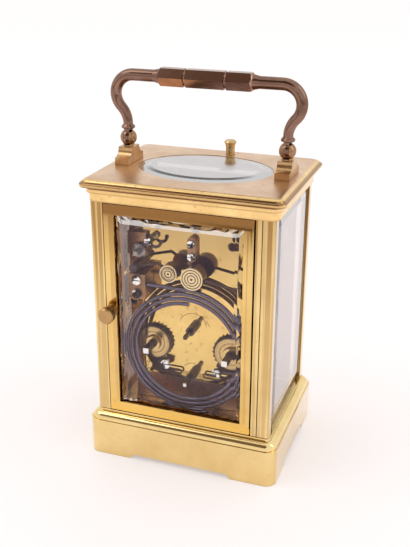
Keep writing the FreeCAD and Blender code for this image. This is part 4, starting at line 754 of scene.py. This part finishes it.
def dialRing(radius, width, centre):
    bpy.ops.mesh.primitive_cylinder_add(vertices=dialLook["ringSides"], radius=radius * mm,
                                        depth=dialLook["ink"] * mm, end_fill_type="NOTHING")
    ring = bpy.context.object
    wall = ring.modifiers.new("wall", "SOLIDIFY")
    wall.thickness = width * mm
    wall.offset = 0.0
    return dialPlace(ring, 0.0, 0.0, centre)


def buildDialPrint(look):
    marks = []
    hourStep = 2 * math.pi / len(look["hours"])
    for hour, words in enumerate(look["hours"]):
        marks.append(dialWords(words, look["hourSize"], look["hourRadius"], hourStep * hour, look["centre"]))
    for hour in look["alarmHours"]:
        marks.append(dialWords(str(hour), look["alarmSize"], look["alarmRadius"], hourStep * hour,
                               look["alarmCentre"]))
    inner, outer = look["track"]
    marks += dialTicks(look["track"], look["minutes"], look["minuteWidth"], look["centre"])
    marks += dialTicks((inner, outer + look["hourPast"]), len(look["hours"]), look["hourWidth"], look["centre"])
    marks += dialTicks(look["alarmTrack"], len(look["alarmHours"]), look["alarmWidth"], look["alarmCentre"])
    for radius in look["track"]:
        marks.append(dialRing(radius, look["ringWidth"], look["centre"]))
    for radius in look["alarmTrack"]:
        marks.append(dialRing(radius, look["alarmRing"], look["alarmCentre"]))
    settle(joinPieces(marks, "dial_print"), "case", enamelFinish("dial_ink", inkLook))


buildDialPrint(dialLook)
print("dial printed")


# floor, light and camera
stageLook = {"floorSize": 6.0, "near": (1.0, 0.938, 0.932), "far": (1.0, 0.985, 0.985), "fade": (0.15, 0.6),
             "rough": 0.9, "gloss": 0.1, "paperEdge": (0.55, 1.0), "table": (0.34, 0.25, 0.20),
             "glow": (1.0, 0.945, 0.935), "glowShare": 0.4}


def buildFloor(look):
    bpy.ops.object.select_all(action="DESELECT")
    bpy.ops.mesh.primitive_plane_add(size=look["floorSize"], location=(0, 0, 0))
    floor = bpy.context.object
    floor.name = "paper_floor"
    material, tree, shader = newFinish("paper_floor_finish")
    distance = addNode(tree, "VectorMath", operation="LENGTH")
    feed(tree, distance, {0: addNode(tree, "TexCoord").outputs["Object"]})
    paper = mixColours(tree, shareOver(tree, distance.outputs["Value"], look["fade"]), look["near"], look["far"])
    # past the paper's front edge mirrors see the unlit table
    path = addNode(tree, "LightPath").outputs
    edge = shareOver(tree, partsOf(tree, "Object")["Y"], look["paperEdge"], smooth=True)
    mirrored = maths(tree, "MULTIPLY", edge, path["Is Glossy Ray"])
    feed(tree, shader, {"Base Color": mixColours(tree, mirrored, paper, look["table"]), "Roughness": look["rough"],
                        "Specular IOR Level": look["gloss"]})
    # bright paper, on which the shadow is pale
    glow = addNode(tree, "Emission")
    feed(tree, glow, {"Color": opaque(look["glow"])})
    mixShaders(tree, maths(tree, "MULTIPLY", path["Is Camera Ray"], look["glowShare"]), shader, glow)
    paint(floor, material)


roomLook = {"towards": (0.08, 0.72, 0.69), "edge": (0.885, 0.955), "white": (1.0, 0.99, 0.985),
            "dim": (0.20, 0.135, 0.10), "ambient": (1.03, 1.025, 1.025)}


def buildWorld(look):
    # white studio, with a dim room behind the camera that only shows in reflections
    world = bpy.data.worlds.new("studio")
    world.use_nodes = True
    scene.world = world
    tree = world.node_tree
    path = addNode(tree, "LightPath").outputs
    facing = addNode(tree, "VectorMath", operation="DOT_PRODUCT")
    feed(tree, facing, {0: addNode(tree, "TexCoord").outputs["Generated"], 1: look["towards"]})
    roomShare = shareOver(tree, facing.outputs["Value"], look["edge"], smooth=True)
    mirrored = mixColours(tree, roomShare, look["white"], look["dim"])
    shine = mixColours(tree, path["Is Glossy Ray"], look["ambient"], mirrored)
    seen = maths(tree, "MAXIMUM", path["Is Camera Ray"], path["Is Transmission Ray"])
    feed(tree, tree.nodes["Background"], {"Color": mixColours(tree, seen, shine, look["white"])})


def aim(thing, target):
    thing.rotation_euler = (Vector(target) - thing.location).to_track_quat("-Z", "Y").to_euler()


lampTarget = (0, 0, 0.07)
lampLooks = {
    "broad_soft_box": {"place": (0.75, 0.35, 1.1), "size": (0.7, 0.7), "power": 2.2},
    "side_strip": {"place": (-0.9, -0.1, 0.7), "size": (0.25, 0.8), "power": 1.2},
}


def buildLamp(name, look):
    bpy.ops.object.light_add(type="AREA", location=look["place"])
    lamp = bpy.context.object
    lamp.name = name
    lamp.data.shape = "RECTANGLE"
    lamp.data.size, lamp.data.size_y = look["size"]
    lamp.data.energy = look["power"]
    aim(lamp, lampTarget)


cameraLook = {"place": (-0.1057, 0.30145, 0.2048), "target": (0.0012, -0.00478, 0.0723), "lens": 55.91, "roll": 0.29,
              "sensor": 36.0, "nearest": 0.01}


def buildCamera(look):
    bpy.ops.object.camera_add(location=look["place"])
    camera = bpy.context.object
    aim(camera, look["target"])
    camera.rotation_euler.rotate_axis("Z", math.radians(look["roll"]))
    camera.data.lens = look["lens"]
    camera.data.sensor_width = look["sensor"]
    camera.data.clip_start = look["nearest"]
    scene.camera = camera


buildFloor(stageLook)
buildWorld(roomLook)
for lampName, lampLook in lampLooks.items():
    buildLamp(lampName, lampLook)
buildCamera(cameraLook)
print("stage, light and camera set")
